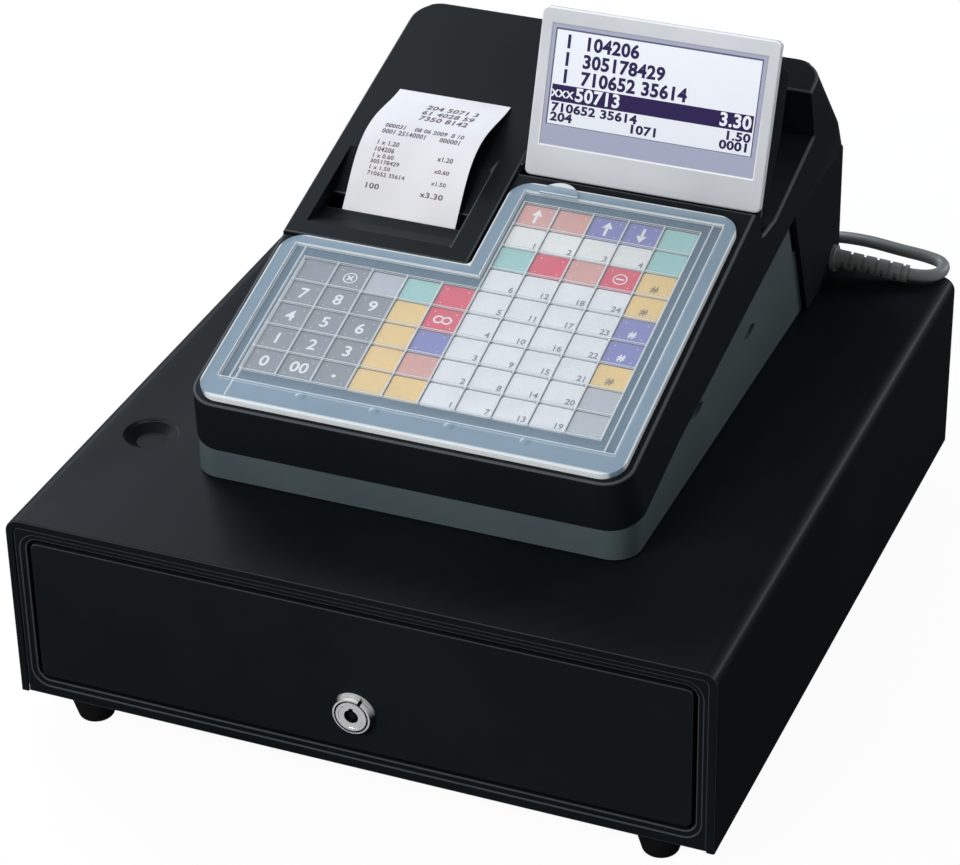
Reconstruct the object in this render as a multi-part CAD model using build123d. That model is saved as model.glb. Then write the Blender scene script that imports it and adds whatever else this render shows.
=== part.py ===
"""Ticket register: an electronic cash register on a steel cash drawer.

Millimetres. +Z is up, -Y is the clerk's side, +X is the clerk's right.
The origin is on the surface that the feet stand on, under the middle of the cabinet.
"""
from build123d import *
from math import acos, asin, atan2, copysign, cos, degrees, hypot, pi, radians, sin, sqrt, tan
import os

# ---------------------------------------------------------------- driving sizes
# cabinet of the cash drawer
cabinet_w = 335.0
cabinet_d = 360.0
cabinet_h = 93.5
cabinet_corner = 7.0
sheet = 1.2
fit = 0.15
hem_w = 3.6
hem_edge_r = 0.8
base_flange_h = 14.0
foot_h = 16.0
foot_top_r = 12.5
foot_low_r = 8.0
foot_inset_x = 29.5
foot_inset_front = 15.5
foot_inset_back = 28.0
foot_bore_h = 7.0
foot_screw_r = 2.0
foot_screw_head_r = 3.6
dish_inset_x = 28.8
dish_inset_y = 88.0
dish_r = 12.5
dish_step_r = 9.0
dish_step_drop = 1.6
dish_drop = 3.4
dish_edge_r = 1.0

# front frame and drawer front
frame_setback = 0.6
frame_depth = 9.0
frame_side = 9.2
frame_top = 9.3
frame_bottom = 8.0
frame_step = 2.6
frame_step_drop = 0.9
panel_gap = 1.9
panel_setback = 1.2
panel_depth = 9.0
panel_corner = 4.0
panel_wall = 1.4

# drawer and its slides
slide_room = 22.5
release_room = 31.8
drawer_side_h = 60.0
drawer_floor_z = 26.0
lock_room = 32.0
rail_z = 52.0
rail_w = 18.0
rail_wall = 1.2
rail_inner_h = 19.0
roller_r = 7.0
roller_w = 5.0
roller_pin_r = 2.5
roll_gap = 0.3
running = 0.05

# till tray
tray_side_room = 0.8
tray_back_room = 9.1
tray_h = 56.0
tray_wall = 2.2
bill_count = 4
coin_columns = 4
coin_rows = 2
coin_cup_len = 42.0
coin_floor = 14.0
tray_corner = 5.0
cup_corner = 3.0
clip_rod_r = 2.0
clip_len = 62.0
clip_w = 16.0
clip_pad_r = 2.2

# lock
lock_z = 46.0
lock_face_r = 9.1
lock_base_r = 10.4
lock_proud = 3.4
lock_barrel_r = 9.0
lock_groove_r = 7.8
lock_plug_r = 6.0
lock_key_r = 3.4
lock_post_r = 2.0
lock_post_drop = 1.6
lock_nick_w = 1.6
lock_nick_turn = 28.0
lock_nut_r = 13.0
lock_cam_len = 27.0
lock_cam_t = 2.0
lock_square = 2.6

# drawer release
catch_out = 11.0
catch_z = 66.0
hook_x = -4.5
hook_reach = 14.0
hook_grip = 8.0
hook_open = 16.0
spring_r = 8.0
spring_x = -70.0

# register housing; a rise is a height over the cabinet, and a y is counted from the deck's origin
deck_slope = 15.5
deck_back = 180.0
deck_rise = 75.6
deck_half_w = 104.8
deck_front_t = -126.1
hump_rise = 1.5
hump_edge = 152.0
hump_break = 176.0
hump_break_rise = 82.5
case_wall = 2.4
case_flare = 6.0
case_front_r = 13.0
case_back_r = 14.0
seam_front_rise = 16.0
seam_bend = -60.0
seam_bend_rise = 31.5
seam_back = 99.0
seam_back_rise = 64.2
back_foot = 124.0
back_side = 3.9
back_corner_r = 6.0
base_side = 1.2
base_front = -116.5
base_back = 174.0
base_wall = 2.5
base_front_r = 12.5
base_lift = 0.8
base_lip = 1.7
shell_gap = 0.4
notch_places = ((40.6, 32.4), (-32.4, 31.0))
notch_len = 17.0
notch_h = 5.0
boss_inset = 7.8
boss_front = -98.0
boss_back = 148.0
boss_rise = 28.5
boss_r = 3.2
boss_rib = 1.6
case_screw_r = 1.5
case_screw_head_r = 2.8
vent_count = 12
vent_pitch = 8.0
vent_inset = 28.7
vent_rise = 18.5
vent_h = 30.0
cord_exit = 164.5
cord_exit_rise = 8.5
cord_hole_r = 5.2

# keyboard, in deck coordinates (x, t along the slope, n out of it)
key_pitch_t = 14.9
key_t_top = 31.5
key_left_inset = 14.0
key_right_inset = 15.9
key_inner_inset = 8.95
key_columns = 10
key_rows = 9
key_left_columns = 5
key_left_rows = 5
key_gap = 0.6
key_drop = 0.4
wet_inset = 3.6
wet_front_t = -123.2
wet_left_t = -15.6
wet_right_t = 43.5
wet_h = 3.0
wet_skin = 1.0
wet_corner = 11.0
wet_inner_r = 3.0
window_margin = 7.0
window_r = 3.6
field_drop = 0.8
field_side = 6.9
field_front = 13.2
field_back = 5.6
bump_first = 48.7
bump_pitch = 35.6
bump_count = 4
bump_r = 5.0
bump_rise = 0.7
tab_x = 13.7
tab_r = 9.6
tab_inset = 7.5
pad_n = -0.45
sheet_n = -0.2

# printer cover and its trough
cover_front_t = -14.4
cover_reach = 48.0
cover_seam = 0.5
cover_skin = 2.4
cover_skirt = 6.0
cover_down = 8.6
trough_left = 36.5
trough_right = 36.0
trough_t0 = -5.0
trough_t1 = 49.0
trough_depth = 7.6
slot_t0 = 14.2
slot_t1 = 24.0
hinge_down = 9.0
hinge_r = 3.0
hinge_pin_r = 1.25
hinge_left = 28.0
hinge_right = 38.0
hinge_len = 8.0

# paper
paper_inset = 44.8
paper_w = 57.5
paper_t = 0.2
roll_r = 37.0
roll_core_r = 8.5
bucket_room = 5.0
roll_at = 99.0
roll_rise = 43.0
slip_points = (
    (17.1, 71.2), (27.6, 84.1), (36.5, 93.3), (47.5, 99.5), (60.5, 101.9), (75.0, 101.7), (88.5, 102.1),
)

# printer mechanism
plate_half = 32.5
plate_t = 1.2
platen_r = 6.0
platen_at = 19.5
platen_rise = 56.5
shaft_r = 2.0
web_gap = 0.3
gear_module = 0.75
platen_teeth = 24
idler_teeth = 34
pinion_teeth = 12
gear_w = 3.0
motor_r = 10.0
motor_shaft_r = 1.0
motor_at = 38.0
motor_rise = 22.7

# boards
board_rise = 10.5
board_t = 1.6
board_front = -78.0
board_back = 34.0
board_left = 1.5
board_right = 6.0

# display
display_left = 1.8
display_right = 1.0
pivot_at = 63.0
pivot_rise = 82.7
display_tilt = 19.7
display_face = 12.1
display_low = 1.5
display_high = 80.9
bezel_t = 3.0
body_high = 67.0
body_inset = 2.0
body_back = 13.0
body_lip = 7.0
barrel_r = 7.5
pivot_pin_r = 2.5
lug_w = 6.0
lug_r = 6.0
lug_inset = 20.0
lens_left = 5.9
lens_right = 5.8
lens_low = 16.9
lens_high = 73.2
pocket_left = 0.5
pocket_points = ((49.4, 89.5), (56.0, 74.7), (74.0, 74.7), (131.0, 90.6))

# mains cord
cord_d = 6.2
relief_r = 5.0
relief_end_r = 4.5
relief_slots = 10
relief_slot = 1.5
relief_tube_r = 3.7
relief_grip = 8.0
coil_r = 46.0
coil_turns = 7.25
plug_len = 36.0
plug_w = 35.0
plug_h = 15.0
plug_pin_r = 2.0
plug_pin_len = 19.0
plug_pin_pitch = 19.0
plug_neck = 22.0
plug_reach = 40.0
# the route from the case wall: across, back, and the share of the height from the floor to the cabinet's top
cord_route = (
    (37.8, 3.4, 1.0451), (46.3, 4.3, 1.0414), (52.8, 11.5, 1.0367), (51.3, 22.5, 1.0329),
    (40.8, 27.1, 1.0301), (26.0, 30.1, 1.0235), (6.3, 37.5, 1.0047), (-16.7, 46.5, 0.9483),
    (-35.7, 52.5, 0.7978), (-48.7, 55.5, 0.5910), (-57.7, 57.5, 0.3559), (-62.7, 60.5, 0.1490),
    (-66.7, 68.0, 0.0212), (-68.1, 79.5, 0.0000),
)

# ---------------------------------------------------------------- derived sizes
cabinet_top = foot_h + cabinet_h
front_y = -cabinet_d / 2
back_y = cabinet_d / 2
inner_x = cabinet_w / 2 - sheet
frame_front_y = front_y + frame_setback
frame_back_y = frame_front_y + frame_depth
frame_x = cabinet_w / 2 - hem_w - fit
open_x = cabinet_w / 2 - frame_side
open_z0 = foot_h + frame_bottom
open_z1 = cabinet_top - frame_top
panel_x = open_x - panel_gap
panel_z0 = open_z0 + panel_gap
panel_z1 = open_z1 - panel_gap
panel_y = front_y + panel_setback
panel_back_y = panel_y + panel_depth
box_back_y = back_y - release_room
box_front_y = panel_back_y + lock_room
drawer_half_w = cabinet_w / 2 - slide_room
box_inner_x = drawer_half_w - sheet
rail_floor_z = rail_z + rail_wall
roller_z = rail_floor_z + roller_r + roll_gap
flange_z = roller_z + roller_r + roll_gap
roller_x = drawer_half_w + sheet + roller_w / 2 + 3.8
front_roller_y = frame_back_y + 15.0
back_roller_y = box_back_y - 12.0
tray_front_y = box_front_y + sheet + 0.5
tray_back_y = box_back_y - sheet - tray_back_room
tray_w = 2 * (box_inner_x - tray_side_room)
tray_floor_z = drawer_floor_z + sheet
tray_top_z = tray_floor_z + tray_h
rod_y_at = tray_back_y - 12.0
rod_z_at = tray_top_z - 6.0
slope = radians(deck_slope)
flare = tan(radians(case_flare))
clip_drop = rod_z_at - tray_floor_z - tray_wall - clip_pad_r - 0.3
clip_rest_angle = degrees(asin(clip_drop / clip_len))
deck_y = back_y - deck_back
deck_z0 = cabinet_top + deck_rise
deck = Plane(origin=(0, deck_y, deck_z0), x_dir=(1, 0, 0), z_dir=(0, -sin(slope), cos(slope)))
hump_edge_y = deck_y + hump_edge
hump_break_y = deck_y + hump_break
hump_break_z = cabinet_top + hump_break_rise
seam_front_z = cabinet_top + seam_front_rise
seam_bend_y = deck_y + seam_bend
seam_bend_z = cabinet_top + seam_bend_rise
seam_back_y = deck_y + seam_back
seam_back_z = cabinet_top + seam_back_rise
back_foot_y = deck_y + back_foot
back_half_w = deck_half_w + back_side
base_half_w = deck_half_w + base_side
base_front_y = deck_y + base_front
base_back_y = deck_y + base_back
base_z = cabinet_top + base_lift
base_floor_z = base_z + base_wall
boss_x = base_half_w - boss_inset
boss_front_y = deck_y + boss_front
boss_back_y = deck_y + boss_back
boss_z = cabinet_top + boss_rise
vent_x0 = vent_inset - back_half_w
vent_z0 = cabinet_top + vent_rise
cord_exit_y = deck_y + cord_exit
cord_exit_z = cabinet_top + cord_exit_rise
paper_x = paper_inset - deck_half_w
cover_right_x = paper_x + cover_reach
trough_x0 = paper_x - trough_left
trough_x1 = paper_x + trough_right
hinge_x0 = paper_x - hinge_left
hinge_x1 = paper_x + hinge_right
roll_y = deck_y + roll_at
roll_z = cabinet_top + roll_rise
slip_path = [(deck_y + y, cabinet_top + z) for y, z in slip_points]
plate_x0 = paper_x - plate_half
plate_x1 = paper_x + plate_half
platen_y = deck_y + platen_at
platen_z = cabinet_top + platen_rise
motor_y = deck_y + motor_at
motor_z = cabinet_top + motor_rise
wet_half_w = deck_half_w - wet_inset
wet_inner_x = cover_right_x + 2.1
key_x0 = key_left_inset - wet_half_w
key_split_x = wet_inner_x + key_inner_inset
key_pitch_left = (key_split_x - key_x0) / key_left_columns
key_pitch_right = (wet_half_w - key_right_inset - key_split_x) / (key_columns - key_left_columns)
board_x0 = plate_x1 + board_left
board_x1 = base_half_w - board_right
board_y0 = deck_y + board_front
board_y1 = deck_y + board_back
board_z = cabinet_top + board_rise
display_x0 = cover_right_x + display_left
display_x1 = deck_half_w + display_right
pivot_y = deck_y + pivot_at
pivot_z = cabinet_top + pivot_rise
pocket_x0 = cover_right_x + pocket_left
pocket_path = [(deck_y + y, cabinet_top + z) for y, z in pocket_points]
lens_x0 = display_x0 + lens_left
lens_x1 = display_x1 - lens_right
tilt = radians(display_tilt)
screen = Plane(origin=(0, pivot_y, pivot_z), x_dir=(1, 0, 0), z_dir=(0, -cos(tilt), sin(tilt)))
cord_low = cord_d / 2 + 0.05
cord_rise = cabinet_top - cord_low
cord_points = [(back_half_w + x, cord_exit_y + y, cord_low + cord_rise * k) for x, y, k in cord_route]
cam_y = panel_back_y + 1.2
dish_x = dish_inset_x - cabinet_w / 2
dish_y = front_y + dish_inset_y
# farther out than any piece reaches
reach = 400.0


# ---------------------------------------------------------------- helpers
def block(x0, x1, y0, y1, z0, z1):
    return Pos((x0 + x1) / 2, (y0 + y1) / 2, (z0 + z1) / 2) * Box(x1 - x0, y1 - y0, z1 - z0)


def rod_x(x0, x1, y, z, r):
    return Pos((x0 + x1) / 2, y, z) * Rot(0, 90, 0) * Cylinder(r, x1 - x0)


def rod_y(x, y0, y1, z, r):
    return Pos(x, (y0 + y1) / 2, z) * Rot(90, 0, 0) * Cylinder(r, y1 - y0)


def rod_z(x, y, z0, z1, r):
    return Pos(x, y, (z0 + z1) / 2) * Cylinder(r, z1 - z0)


def cone_z(x, y, z0, z1, r0, r1):
    return Pos(x, y, (z0 + z1) / 2) * Cone(r0, r1, z1 - z0)


def face_yz(points, x=0.0):
    return Face(Wire.make_polygon([Vector(x, y, z) for y, z in points]))


def prism_x(points, x0, x1):
    return extrude(face_yz(points, x0), amount=x1 - x0, dir=(1, 0, 0))


def prism_y(points, y0, y1):
    face = Face(Wire.make_polygon([Vector(x, y0, z) for x, z in points]))
    return extrude(face, amount=y1 - y0, dir=(0, 1, 0))


def prism_z(points, z0, z1):
    face = Face(Wire.make_polygon([Vector(x, y, z0) for x, y in points]))
    return extrude(face, amount=z1 - z0, dir=(0, 0, 1))


def on_deck(shape):
    return deck.location * shape


def on_screen(shape):
    return screen.location * shape


def deck_block(x0, x1, t0, t1, n0, n1):
    return on_deck(block(x0, x1, t0, t1, n0, n1))


def deck_point(x, t, n):
    return (x, deck_y + t * cos(slope) - n * sin(slope), deck_z0 + t * sin(slope) + n * cos(slope))


def deck_height(y, n=0.0):
    return deck_z0 + (y - deck_y) * tan(slope) + n / cos(slope)


def soft_block(x0, x1, y0, y1, z0, z1, r):
    plan = Pos((x0 + x1) / 2, (y0 + y1) / 2, z0) * RectangleRounded(x1 - x0, y1 - y0, r)
    return extrude(plan, amount=z1 - z0)


def front_plate(x0, x1, y0, y1, z0, z1, r):
    plan = Plane(origin=((x0 + x1) / 2, y0, (z0 + z1) / 2), x_dir=(1, 0, 0), z_dir=(0, -1, 0))
    return extrude(plan * RectangleRounded(x1 - x0, z1 - z0, r), amount=-(y1 - y0))


def shift_path(points, d):
    """Points of an open path moved sideways by d, to the left of its direction."""
    out = []
    for i, (a, b) in enumerate(points):
        before = points[max(i - 1, 0)]
        after = points[min(i + 1, len(points) - 1)]
        if i == 0:
            before = (2 * a - after[0], 2 * b - after[1])
        if i == len(points) - 1:
            after = (2 * a - before[0], 2 * b - before[1])
        u = (a - before[0], b - before[1])
        v = (after[0] - a, after[1] - b)
        lu, lv = hypot(*u), hypot(*v)
        n0 = (-u[1] / lu, u[0] / lu)
        n1 = (-v[1] / lv, v[0] / lv)
        s = 1 + n0[0] * n1[0] + n0[1] * n1[1]
        out.append((a + d * (n0[0] + n1[0]) / s, b + d * (n0[1] + n1[1]) / s))
    return out


def mirrored(shape):
    return mirror(shape, about=Plane.YZ)


# ---------------------------------------------------------------- cabinet
def cover_profile(inset, y0, y1):
    half = cabinet_w / 2 - inset
    body = block(-half, half, y0, y1, foot_h, cabinet_top - inset)
    edges = body.edges().filter_by(Axis.Y).group_by(Axis.Z)[-1]
    return fillet(edges, cabinet_corner - inset)


def outer_front_edges(body):
    edges = []
    for edge in body.faces().sort_by(Axis.Y)[0].outer_wire().edges():
        c = edge.center()
        outside = abs(c.X) > cabinet_w / 2 - 3.0 or c.Z > cabinet_top - 3.0
        if outside and edge.length > hem_w + 1:
            edges.append(edge)
    return edges


def cabinet_cover():
    body = cover_profile(0, front_y, back_y) - cover_profile(sheet, front_y - 1, back_y + 1)
    rim = cover_profile(0, front_y, front_y + sheet) - cover_profile(hem_w, front_y - 1, front_y + 9)
    cup = rod_z(dish_x, dish_y, cabinet_top - dish_step_drop - sheet, cabinet_top - 0.1, dish_r + sheet)
    cup += rod_z(dish_x, dish_y, cabinet_top - dish_drop - sheet, cabinet_top - 0.1, dish_step_r + sheet)
    body = body + rim + cup
    body -= rod_z(dish_x, dish_y, cabinet_top - dish_step_drop, cabinet_top + 1, dish_r)
    body -= rod_z(dish_x, dish_y, cabinet_top - dish_drop, cabinet_top + 1, dish_step_r)
    for r, z in ((dish_r, cabinet_top), (dish_step_r, cabinet_top - dish_step_drop)):
        body = fillet(body.edges().sort_by_distance((dish_x + r, dish_y, z))[0], dish_edge_r)
    return fillet(outer_front_edges(body), hem_edge_r)


def foot_places():
    x = cabinet_w / 2 - foot_inset_x
    return [(sx * x, y) for sx in (-1, 1) for y in (front_y + foot_inset_front, back_y - foot_inset_back)]


def cabinet_base():
    half = inner_x
    body = block(-half, half, frame_back_y, back_y - sheet, foot_h, foot_h + sheet)
    for s in (-1, 1):
        x0, x1 = sorted((s * half, s * (half - sheet)))
        body += block(x0, x1, frame_back_y, back_y - sheet, foot_h, foot_h + base_flange_h)
    keeper_y = cam_y - 0.6
    body += block(-24, 24, keeper_y - sheet, keeper_y, foot_h, open_z0 - 0.8)
    for x, y in foot_places():
        body -= rod_z(x, y, foot_h - 1, foot_h + 9, foot_screw_r + 0.1)
    return body + back_panel()


def back_panel():
    return cover_profile(sheet, back_y - sheet, back_y)


def front_frame():
    z1 = cabinet_top - hem_w - fit
    body = block(-frame_x, frame_x, frame_front_y, frame_back_y, foot_h, z1)
    corners = body.edges().filter_by(Axis.Y).group_by(Axis.Z)[-1]
    body = fillet(corners, cabinet_corner - hem_w - fit)
    r = panel_corner + panel_gap
    body -= front_plate(-open_x, open_x, frame_front_y - 1, frame_back_y + 1, open_z0, open_z1, r)
    w = frame_step
    step = front_plate(-open_x - w, open_x + w, frame_front_y - 1, frame_front_y + frame_step_drop,
                       open_z0 - w, open_z1 + w, r + w)
    return body - step


def rubber_feet():
    parts = []
    for x, y in foot_places():
        foot = cone_z(x, y, 0, foot_h, foot_low_r, foot_top_r)
        foot = fillet(foot.edges().group_by(Axis.Z)[0], 2.0)
        foot -= rod_z(x, y, -1, foot_bore_h, foot_screw_head_r + 0.6)
        foot -= rod_z(x, y, -1, foot_h + 1, foot_screw_r + 0.1)
        parts.append(foot)
    return parts


def foot_screws():
    parts = []
    for x, y in foot_places():
        head = rod_z(x, y, foot_bore_h - 2.4, foot_bore_h, foot_screw_head_r)
        parts.append(head + rod_z(x, y, foot_bore_h - 0.2, foot_h + sheet + 2.5, foot_screw_r))
    return parts


# ---------------------------------------------------------------- drawer slides
def rail_right():
    x0, x1 = inner_x - rail_w, inner_x
    y0, y1 = frame_back_y + 3.0, back_y - sheet - 3.0
    top = rail_floor_z + rail_inner_h
    body = block(x1 - rail_wall, x1, y0, y1, rail_z, top + rail_wall)
    body += block(x0, x1, y0, y1, rail_z, rail_floor_z)
    body += block(x0, x1, y0, y1, top, top + rail_wall)
    body += rod_x(roller_x - roller_w / 2 - 1.2, x1, front_roller_y, roller_z, roller_pin_r)
    body += rod_x(roller_x + roller_w / 2 + 0.3, x1, front_roller_y, roller_z, roller_pin_r + 1.5)
    return body


def runner_right():
    x0, x1 = drawer_half_w, drawer_half_w + sheet
    y0, y1 = panel_back_y + 0.5, box_back_y
    body = block(x0, x1, y0, y1, rail_floor_z + 1.0, flange_z + rail_wall)
    body += block(x0, roller_x + roller_w / 2 + 1.0, y0, y1, flange_z, flange_z + rail_wall)
    body += rod_x(x0, roller_x + roller_w / 2 + 1.0, back_roller_y, roller_z, roller_pin_r)
    body += rod_x(x0, roller_x - roller_w / 2 - 0.3, back_roller_y, roller_z, roller_pin_r + 1.5)
    return body


def roller(y):
    half = roller_w / 2
    body = rod_x(roller_x - half, roller_x + half, y, roller_z, roller_r)
    body -= rod_x(roller_x - half - 1, roller_x + half + 1, y, roller_z, roller_pin_r + running)
    for k in range(3):
        a = 2 * pi * k / 3
        hole_y, hole_z = y + 4.8 * cos(a), roller_z + 4.8 * sin(a)
        body -= rod_x(roller_x - half - 1, roller_x + half + 1, hole_y, hole_z, 0.9)
    return body


# ---------------------------------------------------------------- drawer
def drawer_front():
    body = front_plate(-panel_x, panel_x, panel_y, panel_back_y, panel_z0, panel_z1, panel_corner)
    body = fillet(body.faces().sort_by(Axis.Y)[0].edges(), 1.0)
    w = panel_wall
    body -= front_plate(-panel_x + w, panel_x - w, panel_y + w, panel_back_y + 1,
                        panel_z0 + w, panel_z1 - w, panel_corner - w)
    return body - rod_y(0, panel_y - 1, panel_y + 9, lock_z, lock_barrel_r + running)


def drawer_box():
    z0 = drawer_floor_z
    z1 = z0 + drawer_side_h
    half = drawer_half_w
    body = block(-half, half, box_front_y, box_back_y, z0, z0 + sheet)
    for s in (-1, 1):
        x0, x1 = sorted((s * half, s * (half - sheet)))
        body += block(x0, x1, panel_back_y, box_back_y, z0, z1)
        body += block(x0, x1, panel_y + panel_wall, panel_back_y + 1, panel_z0 + panel_wall + 2, z1)
        x0, x1 = sorted((s * half, s * (half - 11)))
        body += block(x0, x1, panel_y + panel_wall, panel_y + panel_wall + sheet, panel_z0 + 6, z1)
    body += block(-half, half, box_front_y, box_front_y + sheet, z0, z1 - 14)
    body += block(-half, half, box_back_y - sheet, box_back_y, z0, z1)
    return body


def till_tray():
    half = tray_w / 2
    y0, y1 = tray_front_y, tray_back_y
    z0, z1 = tray_floor_z, tray_top_z
    body = soft_block(-half, half, y0, y1, z0, z1, tray_corner)
    w = tray_wall
    coin_end = y0 + w + coin_rows * (coin_cup_len + w)
    pitch = (tray_w - w) / coin_columns
    for i in range(coin_columns):
        for j in range(coin_rows):
            x = -half + w + i * pitch
            y = y0 + w + j * (coin_cup_len + w)
            body -= soft_block(x, x + pitch - w, y, y + coin_cup_len, z0 + coin_floor, z1 + 1, cup_corner)
    pitch = (tray_w - w) / bill_count
    for i in range(bill_count):
        x = -half + w + i * pitch
        body -= soft_block(x, x + pitch - w, coin_end, y1 - w, z0 + w, z1 + 1, cup_corner)
    body -= rod_x(-half + 0.8, half - 0.8, rod_y_at, rod_z_at, clip_rod_r)
    return body


def clip_rod():
    half = tray_w / 2 - 0.8
    return rod_x(-half, half, rod_y_at, rod_z_at, clip_rod_r)


def clip_x(i):
    pitch = (tray_w - tray_wall) / bill_count
    return -tray_w / 2 + tray_wall + (pitch - tray_wall) / 2 + i * pitch


def bill_clip(i):
    half = clip_w / 2
    barrel = rod_x(-half, half, 0, 0, clip_rod_r + 2.0)
    arm = block(-half + 1.5, half - 1.5, -clip_len, 0, -0.8, 0.8)
    pad = rod_x(-half, half, -clip_len, 0, clip_pad_r)
    body = barrel + arm + pad
    body -= rod_x(-half - 1, half + 1, 0, 0, clip_rod_r + running)
    return Pos(clip_x(i), rod_y_at, rod_z_at) * Rot(clip_rest_angle, 0, 0) * body


# ---------------------------------------------------------------- lock
def lock_body():
    y = panel_y
    ring = Pos(0, y - lock_proud / 2, lock_z) * Rot(90, 0, 0) * Cone(lock_base_r, lock_face_r, lock_proud)
    body = ring + rod_y(0, y - 0.2, panel_back_y - 0.6, lock_z, lock_barrel_r)
    body -= rod_y(0, y - lock_proud - 1, y - lock_proud + 0.6, lock_z, lock_groove_r)
    body += rod_y(0, y - lock_proud, y - lock_proud + 1, lock_z, lock_groove_r - 0.5)
    w = lock_nick_w / 2
    nick = block(-w, w, y - lock_proud - 1, y - 0.4, lock_groove_r, lock_base_r + 1)
    body -= Pos(0, 0, lock_z) * Rot(0, lock_nick_turn, 0) * nick
    return body - rod_y(0, y - 9, panel_back_y + 9, lock_z, lock_plug_r + running)


def lock_nut():
    y = panel_y + panel_wall
    hexagon = [(lock_nut_r * cos(pi * k / 3), lock_z + lock_nut_r * sin(pi * k / 3)) for k in range(6)]
    return prism_y(hexagon, y, y + 3.2) - rod_y(0, y - 1, y + 9, lock_z, lock_barrel_r)


def lock_plug():
    y = panel_y - lock_proud
    body = rod_y(0, y + 0.2, cam_y, lock_z, lock_plug_r)
    key = rod_y(0, y - 1, y + 6, lock_z, lock_key_r)
    key -= rod_y(0, y + lock_post_drop, y + 7, lock_z, lock_post_r)
    key += block(-1.0, 1.0, y - 1, y + 6, lock_z + lock_key_r - 0.6, lock_z + lock_key_r + 0.9)
    body -= key
    return body + square_drive(cam_y - 0.2, cam_y + 4.0)


def square_drive(y0, y1):
    return block(-lock_square, lock_square, y0, y1, lock_z - lock_square, lock_z + lock_square)


def lock_cam():
    y1 = cam_y + lock_cam_t
    arm = block(0, lock_cam_len - 5, cam_y, y1, lock_z - 5, lock_z + 5)
    arm += rod_y(lock_cam_len - 5, cam_y, y1, lock_z, 5)
    arm += rod_y(0, cam_y, y1, lock_z, 8)
    return arm - square_drive(cam_y - 1, cam_y + 5)


# ---------------------------------------------------------------- drawer release
def catch():
    y0, y1 = box_back_y, box_back_y + catch_out
    plate = block(-8, 8, y0, y0 + sheet, catch_z - 9, catch_z + 9)
    for z in (catch_z - 6.0, catch_z + 6.0 - sheet):
        plate += block(-5, 5, y0, y1, z, z + sheet)
    return plate + rod_z(0, y1 - 3.2, catch_z - 6.0, catch_z + 6.0, 1.8)


def hook_points():
    """Catch pin, hook pivot and the point where the plunger holds the hook."""
    pin_y = box_back_y + catch_out - 3.2
    py = pin_y + hook_reach
    a = radians(hook_open)
    return pin_y, py, hook_x - hook_grip * sin(a), py - hook_grip * cos(a)


def latch_hook():
    pin_y, py, gx, gy = hook_points()
    px = hook_x
    z0, z1 = catch_z - 1.5, catch_z + 1.5
    arm = [(px - 3.5, py), (px - 3.5, pin_y - 5.0), (1.5, pin_y - 5.0), (1.5, pin_y - 2.4),
           (px + 1.8, pin_y - 2.4), (px + 1.8, pin_y + 3.0), (px + 3.5, py)]
    body = prism_z(arm, z0, z1) + rod_z(px, py, z0, z1, 4.6)
    body -= rod_z(px, py, z0 - 1, z1 + 1, 2.0 + running)
    body -= rod_z(px, py - hook_grip, z0 - 1, z1 + 1, 1.8)
    return Pos(px, py, 0) * Rot(0, 0, -hook_open) * Pos(-px, -py, 0) * body


def latch_bracket():
    pin_y, py, gx, gy = hook_points()
    z = catch_z - 1.8
    y1 = back_y - sheet
    body = block(gx - 31, -12.5, gy - 7, y1, z - sheet, z)
    body += block(-13, hook_x + 8, py - 6, y1, z - sheet, z)
    body += block(gx - 31, hook_x + 8, y1 - sheet, y1, foot_h + sheet, z)
    body += rod_z(hook_x, py, z - 0.1, z + 4.4, 2.0)
    return body + rod_z(hook_x, py, z + 3.6, z + 4.4, 3.4)


def solenoid_body():
    pin_y, py, gx, gy = hook_points()
    x1 = gx - 7.0
    body = block(x1 - 22, x1, gy - 6, gy + 6, catch_z - 1.8, catch_z + 13)
    return body - rod_x(x1 - 20, x1 + 1, gy, catch_z + 6.0, 3.0 + running)


def solenoid_plunger():
    pin_y, py, gx, gy = hook_points()
    body = rod_x(gx - 24, gx + 3.5, gy, catch_z + 6.0, 3.0)
    return body + rod_z(gx, gy, catch_z - 1.2, catch_z + 6.0, 1.2)


def ejector_spring():
    y0, y1 = box_back_y + 0.3, back_y - sheet
    turns = 5
    path = Helix(pitch=(y1 - y0 - 1.4) / turns, height=y1 - y0 - 1.4, radius=spring_r)
    start = path @ 0
    wire = sweep(Plane(origin=start, z_dir=path % 0) * RegularPolygon(0.7, 6), path=path)
    return Pos(spring_x, y1 - 0.7, catch_z) * Rot(90, 0, 0) * wire


# ---------------------------------------------------------------- register housing
def seam_line(drop=0.0):
    k = (seam_bend_z - seam_front_z) / (seam_bend_y - base_front_y)
    far = base_front_y - 40
    start = (far, seam_front_z + k * (far - base_front_y) - drop)
    return [start, (seam_bend_y, seam_bend_z - drop), (seam_back_y, seam_back_z - drop)]


def rear_line(inset):
    top = deck_height(hump_edge_y, hump_rise)
    over = (1.5 * hump_edge_y - 0.5 * hump_break_y, 1.5 * top - 0.5 * hump_break_z)
    points = [over, (hump_edge_y, top), (hump_break_y, hump_break_z), (back_y, seam_back_z), (back_y, 0.0)]
    return shift_path(points, -inset)


def half_at(n, inset):
    return deck_half_w - inset / cos(radians(case_flare)) - n * flare


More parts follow.
